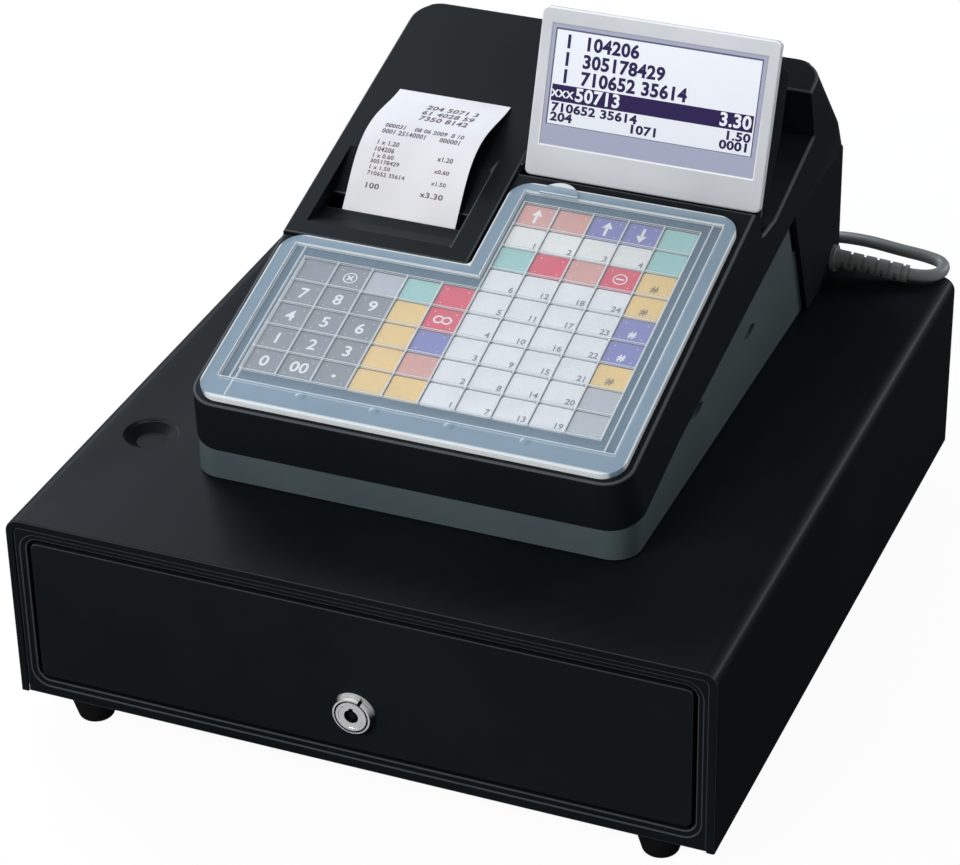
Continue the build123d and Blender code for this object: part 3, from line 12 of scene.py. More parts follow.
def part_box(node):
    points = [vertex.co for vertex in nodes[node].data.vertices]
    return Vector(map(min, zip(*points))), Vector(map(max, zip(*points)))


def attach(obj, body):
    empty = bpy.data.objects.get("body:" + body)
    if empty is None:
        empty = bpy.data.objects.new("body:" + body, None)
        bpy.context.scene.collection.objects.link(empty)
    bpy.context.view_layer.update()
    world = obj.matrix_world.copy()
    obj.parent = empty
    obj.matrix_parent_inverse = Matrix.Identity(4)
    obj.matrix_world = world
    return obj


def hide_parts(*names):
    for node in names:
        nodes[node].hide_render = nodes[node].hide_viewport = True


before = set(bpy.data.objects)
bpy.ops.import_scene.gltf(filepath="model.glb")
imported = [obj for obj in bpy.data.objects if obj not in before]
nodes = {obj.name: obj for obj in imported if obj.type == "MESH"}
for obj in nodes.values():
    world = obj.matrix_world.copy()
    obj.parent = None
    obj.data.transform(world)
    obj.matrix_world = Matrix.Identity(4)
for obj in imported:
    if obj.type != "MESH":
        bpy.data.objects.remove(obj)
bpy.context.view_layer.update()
print("frame loaded:", len(nodes), "nodes")


# camera
camera = {
    "azimuth": 22.9114,
    "elevation": 31.5991,
    "roll": -1.1119,
    "lens": 128.58,
    "sensor": 36.0,
    "clip": (0.05, 30.0),
    "place": (0.52616, -1.27581, 0.93648),
}


def aim(azimuth, elevation, roll):
    a, e = radians(azimuth), radians(elevation)
    back = Vector((sin(a) * cos(e), -cos(a) * cos(e), sin(e)))
    return back.to_track_quat("Z", "Y") @ Quaternion((0, 0, 1), radians(roll))


def addCamera():
    data = bpy.data.cameras.new("camera")
    data.lens = camera["lens"]
    data.sensor_width = camera["sensor"]
    data.clip_start, data.clip_end = camera["clip"]
    seen = bpy.data.objects.new("camera", data)
    seen.rotation_mode = "QUATERNION"
    seen.location = camera["place"]
    seen.rotation_quaternion = aim(camera["azimuth"], camera["elevation"], camera["roll"])
    bpy.context.scene.collection.objects.link(seen)
    bpy.context.scene.camera = seen


addCamera()


# shader maths, and what every piece is made with
class Term:
    # one socket, so that sums and products on it add Math nodes
    def __init__(self, graph, socket):
        self.graph = graph
        self.socket = socket

    def __add__(self, other):
        return self.graph.maths("ADD", self, other)

    __radd__ = __add__

    def __mul__(self, other):
        return self.graph.maths("MULTIPLY", self, other)

    __rmul__ = __mul__

    def __sub__(self, other):
        return self.graph.maths("SUBTRACT", self, other)

    def __rsub__(self, other):
        return self.graph.maths("SUBTRACT", other, self)

    def __neg__(self):
        return self.graph.maths("MULTIPLY", self, -1.0)

    def __mod__(self, other):
        return self.graph.maths("FLOORED_MODULO", self, other)

    def __gt__(self, other):
        return self.graph.maths("GREATER_THAN", self, other)

    def __lt__(self, other):
        return self.graph.maths("LESS_THAN", self, other)

    def size(self):
        return self.graph.maths("ABSOLUTE", self)

    def least(self, *others):
        term = self
        for other in others:
            term = self.graph.maths("MINIMUM", term, other)
        return term

    def most(self, *others):
        term = self
        for other in others:
            term = self.graph.maths("MAXIMUM", term, other)
        return term

    def rise(self, low, high):
        # 0 below low, 1 above high and even between
        ends = {"From Min": low, "From Max": high}
        return self.graph.add("MapRange", {"clamp": True}, {"Value": self, **ends})

    def near(self, spot, half, soft):
        # 1 within half of spot and 0 beyond soft more
        return 1.0 - (self - spot).size().rise(half, half + soft)

    def between(self, low, high):
        # low where this is 0 and high where it is 1
        return low + self * (high - low)


class Finish:
    # one material: its shader's plain values, and the nodes that feed it
    def __init__(self, name, color, **plain):
        self.material = bpy.data.materials.new(name)
        self.material.use_nodes = True
        self.tree = self.material.node_tree
        self.shader = self.tree.nodes["Principled BSDF"]
        self.put("Base Color", color)
        for socket, value in plain.items():
            self.put(socket.replace("_", " "), value)

    def add(self, kind, settings=None, sockets=None, out=0):
        # one node: its settings, then its sockets; out is the name or place of the output wanted
        node = self.tree.nodes.new("ShaderNode" + kind)
        for key, value in (settings or {}).items():
            setattr(node, key, value)
        for key, value in (sockets or {}).items():
            self.feed(node.inputs[key], value)
        return Term(self, node.outputs[out])

    def feed(self, socket, value):
        if isinstance(value, Term):
            self.tree.links.new(value.socket, socket)
        elif socket.type == "RGBA" and len(value) == 3:
            socket.default_value = (*value, 1.0)
        else:
            socket.default_value = value

    def put(self, name, value):
        self.feed(self.shader.inputs[name], value)
        return self

    def maths(self, operation, *values):
        return self.add("Math", {"operation": operation}, dict(enumerate(values)))

    def place(self, origin=(0, 0, 0), turn=0.0, scale=(1, 1, 1)):
        # where a point of the piece is, seen from origin and turned about X
        spot = self.add("TexCoord", out="Object")
        moved = self.add("VectorMath", {"operation": "SUBTRACT"}, {0: spot, 1: origin})
        tilted = {"Vector": moved, "Angle": -turn}
        turned = self.add("VectorRotate", {"rotation_type": "X_AXIS"}, tilted)
        return self.add("VectorMath", {"operation": "MULTIPLY"}, {0: turned, 1: scale})

    def parts(self, vector):
        # x, y and z of a vector, each as a term
        split = self.add("SeparateXYZ", None, {0: vector})
        return [Term(self, end) for end in split.socket.node.outputs]

    def normal(self):
        # in the piece's own frame, so that a look stays with a piece that moves
        return self.parts(self.add("TexCoord", out="Normal"))

    def noise(self, scale, detail=2.0, vector=None):
        vector = vector or self.add("TexCoord", out="Object")
        return self.add("TexNoise", None, {"Vector": vector, "Scale": scale, "Detail": detail})

    def blend(self, fac, low, high):
        # the Mix node's colour sockets come after those for numbers and vectors
        lowPlace, highPlace, resultPlace = 6, 7, 2
        colours = {lowPlace: low, highPlace: high}
        return self.add("Mix", {"data_type": "RGBA"}, {"Factor": fac, **colours}, resultPlace)

    def bump(self, height, depth, strength):
        bent = self.add("Bump", None, {"Height": height, "Distance": depth, "Strength": strength})
        return self.put("Normal", bent)


def shaded(color, share):
    return [part * share for part in color]


def dress(finish, *names):
    for name in names:
        for held in nodes[name].material_slots:
            held.material = finish.material


def newObject(name, data, finish, body, slot, *replaced):
    piece = bpy.data.objects.new(name, data)
    data.materials.append(finish.material)
    bpy.context.scene.collection.objects.link(piece)
    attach(piece, body)
    if replaced:
        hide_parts(*replaced)
    return piece


# distances in metres, angles in degrees, areas in square metres
meshing = {
    "weld": 1e-6,
    "hair": 1e-5,
    "gentle": 35.0,
    "level": 1.0,
    "broad": 4e-4,
}


def toMesh(bm, name):
    mesh = bpy.data.meshes.new(name)
    bm.to_mesh(mesh)
    bm.free()
    return mesh


def mergedCopy(name):
    # a solid's mesh with its loose triangles joined, to be reshaped
    bm = bmesh.new()
    bm.from_mesh(nodes[name].data)
    bmesh.ops.remove_doubles(bm, verts=bm.verts, dist=meshing["weld"])
    return bm


def bevel(bm, edges, offset, segments):
    return bmesh.ops.bevel(
        bm, geom=edges, offset=offset, segments=segments, profile=0.5, affect="EDGES", material=-1
    )


def smooth(bm, gentle=meshing["gentle"], broad=meshing["broad"]):
    # rounded where faces bend gently, and sharp at corners and round every broad flat face
    for face in bm.faces:
        face.smooth = True
    for edge in bm.edges:
        if len(edge.link_faces) == 2:
            bend = edge.calc_face_angle(0.0)
            flat = max(face.calc_area() for face in edge.link_faces) > broad
            edge.smooth = bend < radians(gentle) and not (flat and bend > radians(meshing["level"]))


def lettering(lines, place, thick=0.00012, weight=0.0, spread=1.0):
    # a line is text, x, y, size, how it is aligned and, where it isn't 1, how wide it is drawn; all
    # of them become one mesh
    bm = bmesh.new()
    for text, x, y, size, align, *squeeze in lines:
        curve = bpy.data.curves.new("line", "FONT")
        curve.body = text
        curve.size = size
        curve.align_x = align
        curve.align_y = "CENTER"
        curve.extrude = thick / 2
        curve.offset = weight * size
        curve.resolution_u = 3
        curve.space_character = spread
        holder = bpy.data.objects.new("line", curve)
        mesh = bpy.data.meshes.new_from_object(holder)
        narrow = Matrix.Diagonal((*squeeze, 1.0, 1.0, 1.0)) if squeeze else Matrix.Identity(4)
        mesh.transform(Matrix.Translation((x, y, thick / 2)) @ narrow)
        bm.from_mesh(mesh)
        bpy.data.objects.remove(holder)
        bpy.data.curves.remove(curve)
        bpy.data.meshes.remove(mesh)
    bm.transform(place)
    return bm


# mains cord
cordRoute = {
    "diameter": 0.0062,
    "exit": (0.1465, 0.1679, 0.1143),
    "points": (
        (0.1550, 0.1688, 0.1139), (0.1615, 0.1760, 0.1134), (0.1600, 0.1870, 0.1130),
        (0.1495, 0.1916, 0.1127), (0.1347, 0.1946, 0.1120), (0.1150, 0.2020, 0.1100),
        (0.0920, 0.2110, 0.1040), (0.0730, 0.2170, 0.0880), (0.0600, 0.2200, 0.0660),
        (0.0510, 0.2220, 0.0410), (0.0460, 0.2250, 0.0190), (0.0420, 0.2325, 0.0054),
    ),
    "intoPlug": (0.010, 0.0006, 0.0012),
    "plug": (-0.0234, 0.2870, 0.0075),
}
# a flat coil of two layers, wound inwards on the floor and outwards above; the layers' heights
# are in diameters, and the climb between them is in steps
cordCoil = {
    "middle": (-0.0054, 0.2410),
    "outer": 0.0460,
    "inner": 0.0228,
    "turns": 7.25,
    "steps": 16,
    "heights": (0.508, 1.5),
    "climb": 10,
}


def cordPoints():
    coil = cordCoil
    points = [cordRoute["exit"], *cordRoute["points"]]
    steps = round(coil["turns"] * coil["steps"])
    halfway = steps / 2
    # the curve takes three quarters of a point and an eighth of each one beside it, so it runs
    # inside its points, and they stand this much further out
    out = 1 / (0.75 + 0.25 * cos(2 * pi / coil["steps"]))
    low, high = (cordRoute["diameter"] * height for height in coil["heights"])
    for k in range(1, steps + 1):
        share = abs(k / halfway - 1)
        r = (coil["inner"] + (coil["outer"] - coil["inner"]) * share) * out
        climbed = min(max((k - halfway + coil["climb"] / 2) / coil["climb"], 0.0), 1.0)
        angle = 2 * pi * k / coil["steps"]
        x, y = coil["middle"]
        points.append((x + r * cos(angle), y + r * sin(angle), low + (high - low) * climbed))
    plug = cordRoute["plug"]
    before = tuple(end + step for end, step in zip(plug, cordRoute["intoPlug"]))
    return points + [before, plug]


def addCord(finish):
    curve = bpy.data.curves.new("mainsCord", "CURVE")
    curve.dimensions = "3D"
    curve.bevel_depth = cordRoute["diameter"] / 2
    curve.bevel_resolution = 4
    curve.resolution_u = 6
    curve.use_fill_caps = True
    spline = curve.splines.new("NURBS")
    points = cordPoints()
    spline.points.add(len(points) - 1)
    for point, spot in zip(spline.points, points):
        point.co = (*spot, 1.0)
    spline.order_u = 3
    spline.use_endpoint_u = True
    replaced = ("cord_lead", "cord_coil")
    piece = newObject("mainsCord", curve, finish, "housing", "cord_grey", *replaced)


def cordFinish():
    pvc = Finish("cordPvc", (0.17, 0.18, 0.18), Roughness=0.5)
    grain = pvc.noise(900.0, detail=3.0)
    pvc.put("Roughness", grain.between(0.44, 0.58))
    return pvc.bump(grain, depth=0.00005, strength=0.3)


cordPvc = cordFinish()
dress(cordPvc, "plug", "strain_relief")
addCord(cordPvc)
print("cord laid")


# painted steel, mouldings and bare metal
# normal ranges for the painted highlight on rounded edges and the painted glint, and the
# highlight's colour on paint
highlightPaint = {
    "bend": (0.20, 0.28),
    "upward": (0.25, 0.55),
    "glintWay": (-0.6, -0.8),
    "glint": (0.45, 0.8),
    "glintUp": (0.3, 0.5),
    "paintHighlight": (0.038, 0.044, 0.050),
}


def paintedHighlight(finish, color, light, upward):
    # painted highlight: the colour a little lighter along rounded edges, as though they caught the
    # light: those that face up, or all of them plus a painted glint on what faces front, left and
    # up at once
    nx, ny, nz = finish.normal()
    bend = 1.0 - nx.size().most(ny.size(), nz.size())
    rounded = finish.add("Attribute", {"attribute_name": "rounded"}, out="Fac")
    edge = bend.rise(*highlightPaint["bend"]).most(rounded)
    if upward:
        edge = edge * nz.rise(*highlightPaint["upward"])
    else:
        leftShare, frontShare = highlightPaint["glintWay"]
        glint = (nx * leftShare + ny * frontShare).rise(*highlightPaint["glint"])
        edge = edge.most(glint * nz.rise(*highlightPaint["glintUp"]))
    return finish.blend(edge, color, light)


def paintedSteel(name, color, sheen):
    paint = Finish(name, color, Roughness=sheen, Specular_IOR_Level=0.07)
    fine = paint.noise(2600.0)
    broad = paint.noise(14.0, detail=4.0)
    tone = paint.blend(broad.rise(0.35, 0.65), shaded(color, 0.8), color)
    # painted highlight along rounded edges, and a painted glint where the paint faces front, left
    # and up
    paint.put("Base Color", paintedHighlight(paint, tone, highlightPaint["paintHighlight"], False))
    paint.put("Roughness", broad.between(sheen - 0.04, sheen + 0.04))
    return paint.bump(fine, depth=0.00006, strength=0.35)


def moulded(name, color, rough, grainScale=1500.0, depth=0.00006, gloss=0.4, edge=None):
    resin = Finish(name, color, Roughness=rough, Specular_IOR_Level=gloss)
    grain = resin.noise(grainScale, detail=3.0)
    cloud = resin.noise(22.0, detail=3.0)
    tone = resin.blend(cloud.rise(0.3, 0.7), shaded(color, 0.86), color)
    # where edge is given, a painted highlight lightens the rounded edges that face up
    resin.put("Base Color", paintedHighlight(resin, tone, edge, True) if edge else tone)
    resin.put("Roughness", grain.between(rough - 0.05, rough + 0.05))
    return resin.bump(grain, depth, strength=0.4)


def metal(name, color, rough):
    # its fine streaks lie across Y
    steel = Finish(name, color, Metallic=1.0, Roughness=rough)
    lines = steel.noise(160.0, detail=3.0, vector=steel.place(scale=(1.0, 40.0, 1.0)))
    steel.put("Roughness", lines.between(rough - 0.08, rough + 0.10))
    return steel.bump(lines, depth=0.00004, strength=0.25)


# colours of the painted highlight along rounded edges, on black resin and on the display's silver
blackHighlight, silverHighlight = (0.060, 0.069, 0.076), (0.82, 0.85, 0.88)
cabinetPaint = paintedSteel("cabinetPaint", (0.0048, 0.0068, 0.0086), 0.55)
drawerPaint = paintedSteel("drawerPaint", (0.0052, 0.0080, 0.0102), 0.6)
caseBlack = moulded("caseBlack", (0.0064, 0.0092, 0.0111), 0.55, gloss=0.09, edge=blackHighlight)
caseGrey = moulded("caseGrey", (0.066, 0.088, 0.094), 0.5, gloss=0.15)
trayResin = moulded("trayResin", (0.016, 0.016, 0.018), 0.5)
clipResin = moulded("clipResin", (0.03, 0.03, 0.032), 0.4)
nylon = moulded("nylon", (0.72, 0.70, 0.62), 0.45)
rubber = moulded("rubber", (0.0045, 0.0048, 0.0055), 0.75, 700.0, 0.00012, 0.12)
platenRubber = moulded("platenRubber", (0.025, 0.025, 0.028), 0.8, 900.0, 0.0001)
zinc = metal("zinc", (0.62, 0.64, 0.66), 0.34)
springSteel = metal("springSteel", (0.5, 0.5, 0.52), 0.28)
solenoidSteel = metal("solenoidSteel", (0.42, 0.42, 0.40), 0.4)
boardGreen = moulded("boardGreen", (0.02, 0.11, 0.05), 0.4)
partBlack = moulded("partBlack", (0.03, 0.03, 0.032), 0.45)
paper = moulded("paper", (0.78, 0.78, 0.82), 0.75, 2200.0, 0.00003)
silver = moulded("displaySilver", (0.56, 0.585, 0.62), 0.45, 2600.0, 0.00002, edge=silverHighlight)
membrane = moulded("membrane", (0.045, 0.055, 0.068), 0.6)

dress(cabinetPaint, "cabinet_base")
dress(drawerPaint, "drawer_front", "drawer_box")
dress(rubber, "rubber_feet")
dress(zinc, "screws", "rails", "runners", "catch", "latch_bracket", "keyboard_plate")
dress(zinc, "printer_frame", "clip_rod", "hinge_pins", "lock_nut", "platen_shaft")
dress(zinc, "power_supply", "motor")
dress(nylon, "rollers_front", "rollers_back", "idler_gear", "motor_pinion", "roll_core")
dress(trayResin, "till_tray")
dress(clipResin, "bill_clip_1", "bill_clip_2", "bill_clip_3", "bill_clip_4")
dress(springSteel, "latch_hook", "ejector_spring", "solenoid_plunger")
dress(solenoidSteel, "solenoid_body")
dress(caseBlack, "tear_bar", "rear_housing", "display_body", "paper_bucket")
dress(caseGrey, "lower_case")
dress(membrane, "membrane_pad", "key_sheet")
dress(boardGreen, "main_board")
dress(partBlack, "board_components", "thermal_head", "lcd_panel")
dress(platenRubber, "platen_roller")
dress(paper, "paper_roll", "paper_web", "receipt_slip")
print("solids dressed")


# lock: middle is on the drawer front, face is how far the ring stands out from it, groove is a
# depth behind the ring's face, rim, mouth and line are radii, and corner and gentle are angles
lock = {
    "middle": (0.0, -0.1788, 0.046),
    "face": 0.0034,
    "rim": 0.0088,
    "slope": 0.0009,
    "corner": 30.0,
    "gentle": 20.0,
    "groove": (0.0003, 0.0006),
    "mouth": 0.0080,
    "line": 0.0079,
    "lineHalf": 0.0002,
    "lineSoft": 0.00015,
    "stretch": 0.03,
    # dark and bright are a painted reflection on the ring's sides, set by how far up and left they
    # face; front is the face's colour and deep the painted shade's colour
    "sideShare": 0.3,
    "paintedSkyShine": (0.40, 0.70),
    "forward": (0.86, 0.95),
    "dark": (0.02, 0.022, 0.026),
    "bright": (1.0, 1.0, 1.0),
    "front": (0.90, 0.90, 0.92),
    "deep": (0.012, 0.012, 0.014),
}


def chromeFinish():
    # finely turned; its sides carry a painted reflection, bright where they face up and left and
    # dark elsewhere, the face is plain pale, and painted shade darkens the groove and the keyway
    chrome = Finish("lockChrome", (0.80, 0.80, 0.82), Metallic=0.55, Roughness=0.25)
    x, y, z = chrome.parts(chrome.place(origin=lock["middle"]))
    r = chrome.maths("SQRT", x * x + z * z)
    spread = chrome.add("CombineXYZ", None, {0: r, 1: y * lock["stretch"]})
    rings = chrome.noise(2400.0, vector=spread)
    # painted shade: dark where the surface lies further behind the face than the groove, inside the
    # mouth, and along a thin circle at the line's radius
    deep = (y + lock["face"]).rise(*lock["groove"]) * (r < lock["mouth"])
    deep = deep.most(r.near(lock["line"], lock["lineHalf"], lock["lineSoft"]))
    nx, ny, nz = chrome.normal()
    # painted reflection: the sides bright where they face up and left, dark elsewhere
    paintedSkyShine = (nz + nx * lock["sideShare"]).rise(*lock["paintedSkyShine"])
    side = chrome.blend(paintedSkyShine, lock["dark"], lock["bright"])
    faced = chrome.blend((-ny).rise(*lock["forward"]), side, lock["front"])
    chrome.put("Base Color", chrome.blend(deep, faced, lock["deep"]))
    chrome.put("Roughness", rings.between(0.20, 0.36))
    return chrome.bump(rings, depth=0.00003, strength=0.35)


def lockRing(finish):
    # the ring's front edge, sloped back so that it catches the light
    bm = mergedCopy("lock_body")
    x, y, z = lock["middle"]
    faceY = y - lock["face"]

    def onRim(edge):
        return all(
            abs(v.co.y - faceY) < meshing["hair"] and hypot(v.co.x - x, v.co.z - z) > lock["rim"]
            for v in edge.verts
        )

    rim = [
        edge for edge in bm.edges
        if onRim(edge) and len(edge.link_faces) == 2
        and edge.calc_face_angle(0.0) > radians(lock["corner"])
    ]
    bevel(bm, rim, lock["slope"], segments=2)
    smooth(bm, lock["gentle"])
    newObject("lockRing", toMesh(bm, "lock"), finish, "drawer", "lock_chrome", "lock_body")


lockChrome = chromeFinish()
dress(lockChrome, "lock_plug", "lock_cam")
lockRing(lockChrome)
print("lock finished")


# solids with their outer edges rounded
screenLean = 19.7
up, front = Vector((0, 0, 1)), Vector((0, -1, 0))
screenUp = Vector((0.0, -cos(radians(screenLean)), sin(radians(screenLean))))
# an edge is rounded where one face's normal has more than the share towards along the given way
# and the other's has less than the share across; merged is an angle, and smallFlat an area
rounding = {
    "towards": 0.8,
    "across": 0.5,
    "segments": 3,
    "merged": 0.3,
    "smallFlat": 4e-5,
}


def softened(name, piece, way, offset, merged, *looks):
    # merged first joins the faces that lie in one plane; looks are finish, body and slot
    bm = mergedCopy(name)
    if merged:
        level = radians(rounding["merged"])
        bmesh.ops.dissolve_limit(bm, angle_limit=level, verts=bm.verts, edges=bm.edges)
    # the bevel's faces are marked, so that the painted highlight falls on them
    mark = bm.faces.layers.float.new("rounded")
    chosen = []
    for edge in bm.edges:
        if len(edge.link_faces) == 2 and edge.is_convex:
            low, high = sorted(face.normal.dot(way) for face in edge.link_faces)
            if high > rounding["towards"] and abs(low) < rounding["across"]:
                chosen.append(edge)
    for face in bevel(bm, chosen, offset, rounding["segments"])["faces"]:
        face[mark] = 1.0
    smooth(bm, broad=meshing["broad"] if merged else rounding["smallFlat"])
    for edge in bm.edges:
        if len({face[mark] for face in edge.link_faces}) == 2:
            edge.smooth = False
    newObject(piece, toMesh(bm, piece), *looks, name)


onCase = (caseBlack, "housing", "case_black")
onDoor = (caseBlack, "paper_door", "case_black")
onCabinet = (cabinetPaint, "housing", "cabinet_paint")
onDisplay = (silver, "display", "display_silver")
softened("upper_case", "upperCase", up, 0.0012, False, *onCase)
softened("printer_cover", "printerCover", up, 0.0008, True, *onDoor)
softened("front_frame", "frontFrame", front, 0.0006, True, *onCabinet)
softened("display_bezel", "displayBezel", screenUp, 0.0008, True, *onDisplay)
print("edges rounded")


# cabinet cover: the pressed dish gets its drawn wall, from the rim down to a smaller floor
dish = {
    "middle": (-0.1387, -0.092),
    "top": 0.1095,
    "rim": 0.0125,
    "edge": 0.0010,
    "step": {"radius": 0.0090, "down": 0.0016},
    "foot": 0.0034,
    "floor": {"radius": 0.0072, "down": 0.0041},
    "gentle": 50.0,
}


def coverWithDish():
    bm = mergedCopy("cabinet_cover")
    hair = meshing["hair"]
    rim, edge = dish["rim"], dish["edge"]
    stepR, step = dish["step"]["radius"], dish["step"]["down"]
    floorR, floor = dish["floor"]["radius"], dish["floor"]["down"]
    cx, cy = dish["middle"]
    whole = step - edge + rim - stepR + dish["foot"] - step
    for v in bm.verts:
        x, y = v.co.x - cx, v.co.y - cy
        r, down = hypot(x, y), dish["top"] - v.co.z
        if r > rim + hair or down < edge - hair or down > dish["foot"] + hair:
            continue
        # how far along the old wall, out of the two steps and the rounded edge between them
        if down <= step + hair:
            along = down - edge + rim - r
        else:
            along = step - edge + rim - stepR + (down - step)
        share = min(along / whole, 1.0)
        wide = rim + (floorR - rim) * share
        if r > stepR - hair:
            v.co.x, v.co.y = cx + x / r * wide, cy + y / r * wide
        v.co.z = dish["top"] - (edge + (floor - edge) * share)
    smooth(bm, dish["gentle"])
    newObject("cabinetCover", toMesh(bm, "cover"), *onCabinet, "cabinet_cover")


coverWithDish()
print("cabinet cover shaped")


# keyboard: key pads, their legends and the silicone cover over them
deck = {"origin": (0.0, 0.0, 0.1851), "slope": 15.5}
deckSlope = radians(deck["slope"])
deckPlace = Matrix.Translation(deck["origin"]) @ Matrix.Rotation(deckSlope, 4, "X")
keyboard = {
    "pitch": (0.01725, 0.0149),
    "first": (-0.0872, 0.0315),
    "gap": 0.00062,
    "under": -0.0002,
    "top": 0.0009,
    "corner": 0.0011,
    "columns": 10,
    "rows": 9,
    "rearRows": 4,
    "leftColumns": 5,
}
keyColours = {
    "dark": (0.235, 0.262, 0.303),
    "pale": (0.53, 0.57, 0.62),
    "teal": (0.37, 0.70, 0.66),
    "red": (0.86, 0.018, 0.085),
    "amber": (0.98, 0.68, 0.23),
    "violet": (0.205, 0.215, 0.58),
    "salmon": (0.79, 0.38, 0.315),
    "white": (0.93, 0.945, 0.975),
    "cream": (0.98, 0.98, 0.945),
}
# colour and legend of each key, left block then right block, rear row first: x and - are rings
# with a cross and a bar in them, o is a double loop, u and d are arrows
leftKeys = (
    ("dark", "dark x", "pale", "teal", "red"),
    ("dark 7", "dark 8", "dark 9", "amber", "red o"),
    ("dark 4", "dark 5", "dark 6", "amber", "violet"),
    ("dark 1", "dark 2", "dark 3", "amber", "salmon"),
    ("dark 0", "dark 00", "dark .", "amber", "amber"),
)
rightKeys = (
    ("salmon u", "salmon", "violet u", "violet d", "teal"),
    ("cream 1", "cream 2", "cream 3", "cream 4", "teal"),
    ("teal", "red", "salmon", "red -", "amber #"),
    ("white 6", "white 12", "white 18", "white 24", "amber #"),
    ("white 5", "white 11", "white 17", "white 23", "violet #"),
    ("white 4", "white 10", "white 16", "white 22", "violet #"),
    ("white 3", "white 9", "white 15", "white 21", "amber #"),
    ("white 2", "white 8", "white 14", "white 20", "pale"),
    ("white 1", "white 7", "white 13", "white 19", "pale"),
)


def eachKey():
    # colour, legend and the corner that is left and rear of every key
    wide, deep = keyboard["pitch"]
    x0, y0 = keyboard["first"]
    blocks = ((leftKeys, 0, keyboard["rearRows"]), (rightKeys, keyboard["leftColumns"], 0))
    for rows, column, row in blocks:
        for j, names in enumerate(rows):
            for i, name in enumerate(names):
                colour, *legend = name.split()
                yield colour, "".join(legend), x0 + (column + i) * wide, y0 - (row + j) * deep


def plate(bm, x0, x1, y0, y1):
    # a slab with rounded upright edges, added to bm
    z0, z1 = keyboard["under"], keyboard["top"]
    made = bmesh.ops.create_cube(bm, size=1.0)["verts"]
    bmesh.ops.scale(bm, vec=(x1 - x0, y1 - y0, z1 - z0), verts=made)
    middle = ((x0 + x1) / 2, (y0 + y1) / 2, (z0 + z1) / 2)
    bmesh.ops.translate(bm, vec=middle, verts=made)
    around = {edge for v in made for edge in v.link_edges}
    upright = [e for e in around if abs((e.verts[0].co - e.verts[1].co).z) > 0.5 * (z1 - z0)]
    bevel(bm, upright, keyboard["corner"], segments=3)


def keyFinish(colour):
    pad = Finish(f"key{colour.title()}", keyColours[colour], Roughness=0.45)
    speck = pad.noise(2400.0)
    deep = shaded(keyColours[colour], 0.82)
    pad.put("Base Color", pad.blend(speck.rise(0.35, 0.6), deep, keyColours[colour]))
    return pad.bump(speck, depth=0.00004, strength=0.3)


def keyPads():
    g = keyboard["gap"]
    wide, deep = keyboard["pitch"]
    for colour in keyColours:
        bm = bmesh.new()
        for name, _, x, y in eachKey():
            if name == colour:
                plate(bm, x + g, x + wide - g, y - deep + g, y - g)
        bm.transform(deckPlace)
        mesh = toMesh(bm, "keys")
        newObject(f"keys{colour.title()}", mesh, keyFinish(colour), "housing", "key_print")


# signs that the built-in font lacks, measured from the middle of their key
signs = {
    "lift": 0.0001,
    "arrowHead": 0.0029,
    "headAhead": 0.0020,
    "stem": (0.0013, 0.0060),
    "stemBehind": 0.0014,
    "ring": (0.0034, 0.0006),
    "bar": (0.0038, 0.0009),
    "loop": (0.0025, 0.0009),
    "loopAside": 0.0020,
    "dot": (0.00028, 0.00026, 8),
    "dotAside": 0.0052,
    "dotAhead": 0.0045,
}


def arrow(bm, x, y, rearward):
    # a broad arrow, from a triangle and a bar
    sign = 1 if rearward else -1
    turn = Matrix.Rotation(0 if rearward else pi, 3, "Z")
    radius = signs["arrowHead"]
    head = bmesh.ops.create_circle(bm, cap_ends=True, segments=3, radius=radius)["verts"]
    bmesh.ops.rotate(bm, verts=head, cent=(0, 0, 0), matrix=turn)
    bmesh.ops.translate(bm, verts=head, vec=(x, y + sign * signs["headAhead"], 0))
    bar(bm, x, y - sign * signs["stemBehind"], *signs["stem"])


def hoop(bm, x, y, r, thick, segments=28):
    # a flat ring
    inner = bmesh.ops.create_circle(bm, segments=segments, radius=r - thick)["verts"]
    outer = bmesh.ops.create_circle(bm, segments=segments, radius=r)["verts"]
    edges = list({e for v in inner + outer for e in v.link_edges})
    bmesh.ops.translate(bm, verts=inner + outer, vec=(x, y, 0))
    bmesh.ops.bridge_loops(bm, edges=edges)


def bar(bm, x, y, length, thick, turn=0.0):
    made = bmesh.ops.create_grid(bm, x_segments=1, y_segments=1, size=0.5)["verts"]
    bmesh.ops.scale(bm, verts=made, vec=(length, thick, 1))
    bmesh.ops.rotate(bm, verts=made, cent=(0, 0, 0), matrix=Matrix.Rotation(turn, 3, "Z"))
    bmesh.ops.translate(bm, verts=made, vec=(x, y, 0))


def addSigns():
    # arrows, the crossed ring, the barred ring, the double loop and the small dots in the corners
    bm = bmesh.new()
    wide, deep = keyboard["pitch"]
    for colour, legend, x, y in eachKey():
        cx, cy = x + wide / 2, y - deep / 2
        if legend in ("u", "d"):
            arrow(bm, cx, cy, legend == "u")
        if legend in ("x", "-"):
            hoop(bm, cx, cy, *signs["ring"])
            for turn in (pi / 4, -pi / 4) if legend == "x" else (0.0,):
                bar(bm, cx, cy, *signs["bar"], turn)
        if legend == "o":
            for side in (-1, 1):
                hoop(bm, cx + side * signs["loopAside"], cy, *signs["loop"])
        if colour not in ("white", "cream"):
            for side in (-1, 1):
                for end in (-1, 1):
                    spot = (cx + side * signs["dotAside"], cy + end * signs["dotAhead"])
                    hoop(bm, *spot, *signs["dot"])
    return bm


# size of each kind of legend, and how far it stands from its key's middle or front right corner
legendType = {
    "digit": 0.0090,
    "point": 0.0130,
    "pointAhead": 0.0026,
    "hash": 0.0060,
    "hashBehind": 0.0024,
    "number": 0.0046,
    "numberFromRight": 0.0016,
    "numberFromFront": 0.0034,
    "weight": 0.016,
    "pale": (0.93, 0.94, 0.95),
    "grey": (0.22, 0.22, 0.25),
    "brown": (0.34, 0.22, 0.09),
}


